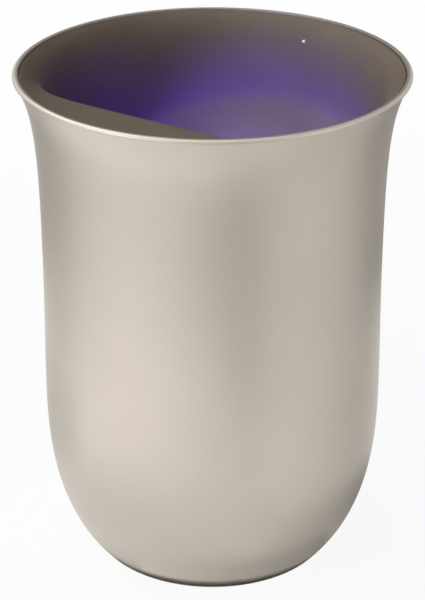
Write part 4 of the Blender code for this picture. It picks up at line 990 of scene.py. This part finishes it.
def build_cover():
    """Moulded cover: rounded rim, groove for the foot, sunk heads and a low middle ring."""
    low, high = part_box("base_cover")
    rim, edge = high.x, COVER_EDGE
    hub = BASE_HOLE_RADIUS - FIT
    outline = [(0, high.z), (hub, high.z), (hub, COVER_SEAT_TOP - FIT), (rim, COVER_SEAT_TOP - FIT)]
    outline += arc((rim - edge, COVER_LIFT + edge), edge, 0, -90, 6)
    for radius, side in ((FOOT_OUTER_RADIUS + FIT, 1), (FOOT_INNER_RADIUS - FIT, -1)):
        lips = arc((radius + side * edge, COVER_LIFT + edge), edge, -90, -90 - side * 90, 5)
        walls = lips + [(radius, FOOT_THICKNESS + FIT)]
        outline += walls if side > 0 else list(reversed(walls))
    middle = FOOT_INNER_RADIUS / 3
    outline += [(middle + edge, COVER_LIFT), (middle + edge / 2, COVER_LIFT + edge),
                (middle - edge / 2, COVER_LIFT + edge), (middle - edge, COVER_LIFT),
                (0, COVER_LIFT)]
    cover = turned("cover_moulding", outline, BASE_STEPS, DARK)
    tools = []
    head_top = COVER_LIFT + SCREW_HEAD_HEIGHT + 2 * FIT
    for place in screw_places():
        for name, radius, top in (("head_bore", SCREW_HEAD_RADIUS + FIT, head_top),
                                  ("shank_bore", SCREW_SHANK_RADIUS + FIT, 2 * high.z)):
            tools.append(bar(name, circle(radius, SMALL_STEPS), -FIT, top,
                             Matrix.Translation((place.x, place.y, 0))))
    cut(cover, tools)
    ride_on(cover, "housing", "dark_plastic", "base_cover")


def cross_blades(tip, turn):
    """Two tapered blades that cut a cross recess up into a head."""
    blades = []
    for quarter in (0, 90):
        place = turn @ Matrix.Rotation(math.radians(quarter), 4, "Z")
        rings = []
        for z, share in ((tip - FIT, RECESS_MOUTH), (tip + RECESS_DEPTH, RECESS_TIP)):
            half = (RECESS_REACH * share, RECESS_HALF * (1 + share) / 2)
            rings.append([place @ Vector((sx * half[0], sy * half[1], z))
                          for sx, sy in ((1, 1), (-1, 1), (-1, -1), (1, -1))])
        blades.append(new_object("blade", mesh_of_rings("blade", rings)))
    return blades


def build_base_screws():
    """Pan heads with a cross recess."""
    rounding = SCREW_HEAD_HEIGHT / 3
    for k, place in enumerate(screw_places()):
        node = "base_screw_%d" % (k + 1)
        low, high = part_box(node)
        top = low.z + SCREW_HEAD_HEIGHT
        outline = [(0, low.z)]
        outline += arc((SCREW_HEAD_RADIUS - rounding, low.z + rounding), rounding, -90, 0, 8)
        outline += [(SCREW_HEAD_RADIUS, top), (SCREW_SHANK_RADIUS, top)]
        outline += [(SCREW_SHANK_RADIUS, high.z - SCREW_SHANK_RADIUS),
                    (SCREW_SHANK_RADIUS / 2, high.z), (0, high.z)]
        screw = turned("cover_screw_%d" % (k + 1), outline, SMALL_STEPS, STEEL)
        turn = Matrix.Rotation(math.radians(SCREW_TURN + SCREW_TURN_STEP * k), 4, "Z")
        cut(screw, cross_blades(low.z, turn))
        screw.data.transform(Matrix.Translation((place.x, place.y, 0)))
        ride_on(screw, "housing", "zinc_steel", node)


def build_pad():
    """Silicone strip on the slot's floor: rounded rim and three ribs along it."""
    low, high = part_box("rest_pad")
    middle = (low + high) / 2
    wide, deep = (high.x - low.x) / 2, (high.y - low.y) / 2
    top = high.z - PAD_RIB
    rings = []
    for z, drawn in [(low.z, PAD_EDGE / 2), (low.z + PAD_EDGE / 2, 0)] + [
            (top - PAD_EDGE * (1 - math.sin(a)), PAD_EDGE * (1 - math.cos(a)))
            for a in spread(0, math.pi / 2, 6)]:
        outline = rounded(wide - drawn, deep - drawn, PAD_CORNER - drawn)
        rings.append([(middle.x + x, middle.y + y, z) for x, y in outline])
    pad = new_object("pad_strip", mesh_of_rings("pad_strip", rings))
    ribs = []
    for k in (-1, 0, 1):
        reach = wide - 2 * PAD_CORNER
        at = middle.y + k * deep / 2
        outline = arc((at, top), PAD_RIB, 0, 180, 12) + [(at - PAD_RIB, top - PAD_RIB),
                                                         (at + PAD_RIB, top - PAD_RIB)]
        rib_rings = [[(x, y, z) for y, z in outline] for x in (-reach, reach)]
        ribs.append(new_object("rib", mesh_of_rings("rib", rib_rings)))
    cut(pad, ribs, "UNION")
    pad.data.materials.clear()
    pad.data.materials.append(SILICONE)
    ride_on(pad, "housing", "rest_silicone", "rest_pad")


def build_lens():
    """Domed end of the indicator's light guide."""
    low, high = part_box("indicator_lens")
    radius = (high.x - low.x) / 2
    dome = radius / 2
    outline = [(0, high.y), (radius, high.y)]
    outline += [(radius * math.cos(a), low.y + dome * (1 - math.sin(a)))
                for a in spread(0, math.pi / 2, 10)[:-1]] + [(0, low.y)]
    lens = turned_back("lens_dome", outline, SMALL_STEPS, PILOT, (low.z + high.z) / 2)
    ride_on(lens, "housing", "pilot_lens", "indicator_lens")


def build_lamps():
    """Four lamps: square body with a round cup, and a dome in the cup."""
    frame_of_window = window_place()
    for k in range(4):
        node = "uv_led_%d" % (k + 1)
        at = frame_of_window.inverted() @ middle_of(node)
        place = frame_of_window @ Matrix.Translation(at)
        half, low, high = LAMP_SIZE / 2, -LAMP_THICKNESS / 2, LAMP_THICKNESS / 2
        body = bar("lamp_body_%d" % (k + 1), rounded(half, half, LAMP_SIZE / 12, 4), low, high,
                   place, CERAMIC)
        cup = bar("cup", circle(LAMP_CUP_RADIUS, SMALL_STEPS), low - FIT, low + LAMP_CUP_DEPTH,
                  place)
        cut(body, [cup])
        softened(body, LAMP_SIZE / 40)
        ride_on(body, "housing", "lamp_body", node)
        radius = LAMP_CUP_RADIUS - FIT / 2
        floor = low + LAMP_CUP_DEPTH
        outline = [(0, low + FIT / 3)]
        outline += [(radius * math.sin(a), floor - (LAMP_CUP_DEPTH - FIT / 3) * math.cos(a))
                    for a in spread(0, math.pi / 2, 12)[1:]] + [(0, floor)]
        dome = turned("lamp_dome_%d" % (k + 1), outline, SMALL_STEPS, LAMP)
        dome.data.transform(place)
        ride_on(dome, "housing", "lamp_body")


# Stage


def area_light(name, place, aim, size, power, colour=WHITE[:3]):
    data = bpy.data.lights.new(name, "AREA")
    data.shape = "RECTANGLE"
    data.size, data.size_y = size
    data.energy = power
    data.color = colour
    item = bpy.data.objects.new(name, data)
    bpy.context.scene.collection.objects.link(item)
    item.location = place
    item.rotation_euler = (Vector(aim) - Vector(place)).to_track_quat("-Z", "Y").to_euler()
    return item


def seen_rays(tree):
    """1 for camera, glossy and transmission rays."""
    path = tree.nodes.new("ShaderNodeLightPath")
    seen = path.outputs["Is Camera Ray"]
    for kind in ("Is Glossy Ray", "Is Transmission Ray"):
        larger = tree.nodes.new("ShaderNodeMath")
        larger.operation = "MAXIMUM"
        tree.links.new(seen, larger.inputs[0])
        tree.links.new(path.outputs[kind], larger.inputs[1])
        seen = larger.outputs[0]
    return seen


def floor_fade(tree):
    """White far off and a little less near the cup."""
    place = tree.nodes.new("ShaderNodeNewGeometry")
    reach = tree.nodes.new("ShaderNodeVectorMath")
    reach.operation = "LENGTH"
    tree.links.new(place.outputs["Position"], reach.inputs[0])
    fade = tree.nodes.new("ShaderNodeMapRange")
    ends = {"From Min": FLOOR_NEAR, "From Max": FLOOR_FAR, "To Min": FLOOR_WHITE, "To Max": 1.0}
    for socket, value in ends.items():
        fade.inputs[socket].default_value = value
    tree.links.new(reach.outputs["Value"], fade.inputs["Value"])
    return fade.outputs["Result"]


def floor_paint():
    """Grey to the light, near white to the eye and in reflections."""
    mat = bpy.data.materials.new("studio_floor")
    mat.use_nodes = True
    tree = mat.node_tree
    shader = tree.nodes["Principled BSDF"]
    shader.inputs["Base Color"].default_value = (FLOOR_GREY, FLOOR_GREY, FLOOR_GREY, 1)
    shader.inputs["Roughness"].default_value = FLOOR_ROUGHNESS
    shader.inputs["Specular IOR Level"].default_value = 0.0
    white = tree.nodes.new("ShaderNodeEmission")
    white.inputs["Color"].default_value = WHITE
    white.inputs["Strength"].default_value = 1.0
    share = tree.nodes.new("ShaderNodeMath")
    share.operation = "MULTIPLY"
    tree.links.new(seen_rays(tree), share.inputs[0])
    tree.links.new(floor_fade(tree), share.inputs[1])
    mix = tree.nodes.new("ShaderNodeMixShader")
    tree.links.new(share.outputs[0], mix.inputs["Fac"])
    tree.links.new(shader.outputs[0], mix.inputs[1])
    tree.links.new(white.outputs[0], mix.inputs[2])
    tree.links.new(mix.outputs[0], tree.nodes["Material Output"].inputs["Surface"])
    return mat


def build_floor():
    half = FLOOR_HALF
    mesh = bpy.data.meshes.new("studio_floor")
    mesh.from_pydata([(-half, -half, 0), (half, -half, 0), (half, half, 0), (-half, half, 0)],
                     [], [(0, 1, 2, 3)])
    floor = new_object("studio_floor", mesh, floor_paint(), smooth=False)


def build_world():
    """White to the eye and in reflections, and faint as light."""
    world = bpy.data.worlds.new("studio")
    bpy.context.scene.world = world
    world.use_nodes = True
    tree = world.node_tree
    soft = tree.nodes["Background"]
    white = tree.nodes.new("ShaderNodeBackground")
    for shader, strength in ((soft, AMBIENT), (white, 1.0)):
        shader.inputs["Color"].default_value = WHITE
        shader.inputs["Strength"].default_value = strength
    mix = tree.nodes.new("ShaderNodeMixShader")
    tree.links.new(seen_rays(tree), mix.inputs["Fac"])
    tree.links.new(soft.outputs[0], mix.inputs[1])
    tree.links.new(white.outputs[0], mix.inputs[2])
    tree.links.new(mix.outputs[0], tree.nodes["World Output"].inputs["Surface"])


def around(turn, rise, distance):
    """Point seen from the cup's middle, by degrees round from the front and up."""
    a, e = math.radians(turn), math.radians(rise)
    return Vector((math.sin(a) * math.cos(e), -math.cos(a) * math.cos(e), math.sin(e))) * distance


def studio_card(name, rows, shade=BLACK, shine=0.0):
    """Card for the metal to reflect: it casts no shadow and no camera sees it."""
    shape = bmesh.new()
    verts = [[shape.verts.new(p) for p in row] for row in rows]
    for lower, upper in zip(verts, verts[1:]):
        for k in range(len(lower) - 1):
            shape.faces.new((lower[k], lower[k + 1], upper[k + 1], upper[k]))
    mat = bpy.data.materials.new(name)
    mat.use_nodes = True
    shader = mat.node_tree.nodes["Principled BSDF"]
    shader.inputs["Base Color"].default_value = (shade, shade, shade, 1)
    shader.inputs["Specular IOR Level"].default_value = 0.0
    shader.inputs["Emission Color"].default_value = WHITE
    shader.inputs["Emission Strength"].default_value = shine
    card = new_object(name, mesh_from(name, shape), mat, smooth=False)
    card.visible_camera = False
    card.visible_shadow = False
    card.visible_diffuse = False


def floor_card(name, turns, radii, lift, shade, shine):
    """Sector of a ring that lies on the floor."""
    rows = [[around(turn, 0, radius) + Vector((0, 0, lift * MM))
             for turn in spread(*turns, CARD_STEPS)] for radius in radii]
    studio_card(name, rows, shade, shine)


def upright_card(name, middle, half, steps, distance, heights, shine):
    """Curved card that stands round the cup's axis."""
    rows = [[around(middle + turn, 0, distance) + Vector((0, 0, z))
             for turn in spread(-half, half, steps)] for z in heights]
    studio_card(name, rows, shine=shine)


# Dark ring round the foot: painted shadow of the cup on the floor, seen only in reflections
def foot_cards():
    return [("foot_shade", (FOOT_TURN * k, FOOT_TURN * (k + 1)), FOOT_RADII, FOOT_LIFT, BLACK,
             FOOT_SHINE - FOOT_FADE * k) for k in range(FOOT_COUNT)]


# Dark fans at the right of the cup: painted shadow of the cup on the floor, seen only in
# reflections
def fan_cards():
    cards = []
    for k in range(-FAN_HALF_COUNT, FAN_HALF_COUNT + 1):
        middle = FAN_MIDDLE + FAN_TURN * k
        turns = (middle - FAN_TURN / 2, middle + FAN_TURN / 2)
        for name, (radii, shine, gain) in FANS.items():
            cards.append((name, turns, radii, FAN_LIFT, BLACK, shine + gain * abs(k)))
    return cards


def build_cards():
    for card in FRONT_CARDS + foot_cards() + SHADE_CARDS + fan_cards():
        floor_card(*card)
    upright_card(*BACK_CARD)
    out, side = around(VIEW_TURN, 0, 1), around(VIEW_TURN + 90, 0, 1)
    above = Vector((0, 0, TOP_CARD_HEIGHT))
    studio_card("bright_top", [[out * reach + side * x + above
                                for x in (-TOP_CARD_HALF, TOP_CARD_HALF)]
                               for reach in (0.0, TOP_CARD_REACH)], shine=1.0)
    upright_card(*SIDE_CARD)


def build_glow():
    """Violet light of the lamps: at the window, and from low in the slot."""
    front = -front_wall(WINDOW_HEIGHT)
    window = area_light("glow_window", (0, front, WINDOW_HEIGHT),
                        (0, 0, WINDOW_HEIGHT - GLOW_DROP),
                        (WINDOW_OPEN_WIDTH, WINDOW_OPEN_TALL), GLOW_POWER, VIOLET)
    window.data.spread = GLOW_SPREAD
    middle = (rest_plane(DEEP_HEIGHT) - front_wall(DEEP_HEIGHT)) / 2
    deep = area_light("glow_deep", (0, middle, DEEP_HEIGHT), (0, middle, HEIGHT),
                      DEEP_SIZE, DEEP_POWER, VIOLET)
    for glow in (window, deep):
        glow.visible_camera = False


def build_lights():
    middle = (0, 0, HEIGHT / 2)
    for name, (turn, rise, distance, size, power) in LIGHTS.items():
        light = area_light(name, around(turn, rise, distance), middle, size, power)
        light.visible_glossy = name != "inner_fill"


def build_camera():
    data = bpy.data.cameras.new("view")
    data.sensor_fit = "VERTICAL"
    data.sensor_height = VIEW_SENSOR
    data.lens = VIEW_LENS
    data.clip_start = CLIP_START
    item = bpy.data.objects.new("view", data)
    bpy.context.scene.collection.objects.link(item)
    out = around(VIEW_TURN, VIEW_RISE, 1)
    item.location = Vector((0, 0, VIEW_AIM)) + out * VIEW_DISTANCE
    item.rotation_euler = (-out).to_track_quat("-Z", "Y").to_euler()
    bpy.context.scene.camera = item


bpy.context.scene.view_settings.view_transform = "Standard"
dress_frame()
build_shell()
build_liner()
build_button()
build_bezel()
build_inlet()
build_foot()
build_cover()
build_base_screws()
build_pad()
build_lens()
build_lamps()
build_world()
build_floor()
build_lights()
build_cards()
build_glow()
build_camera()
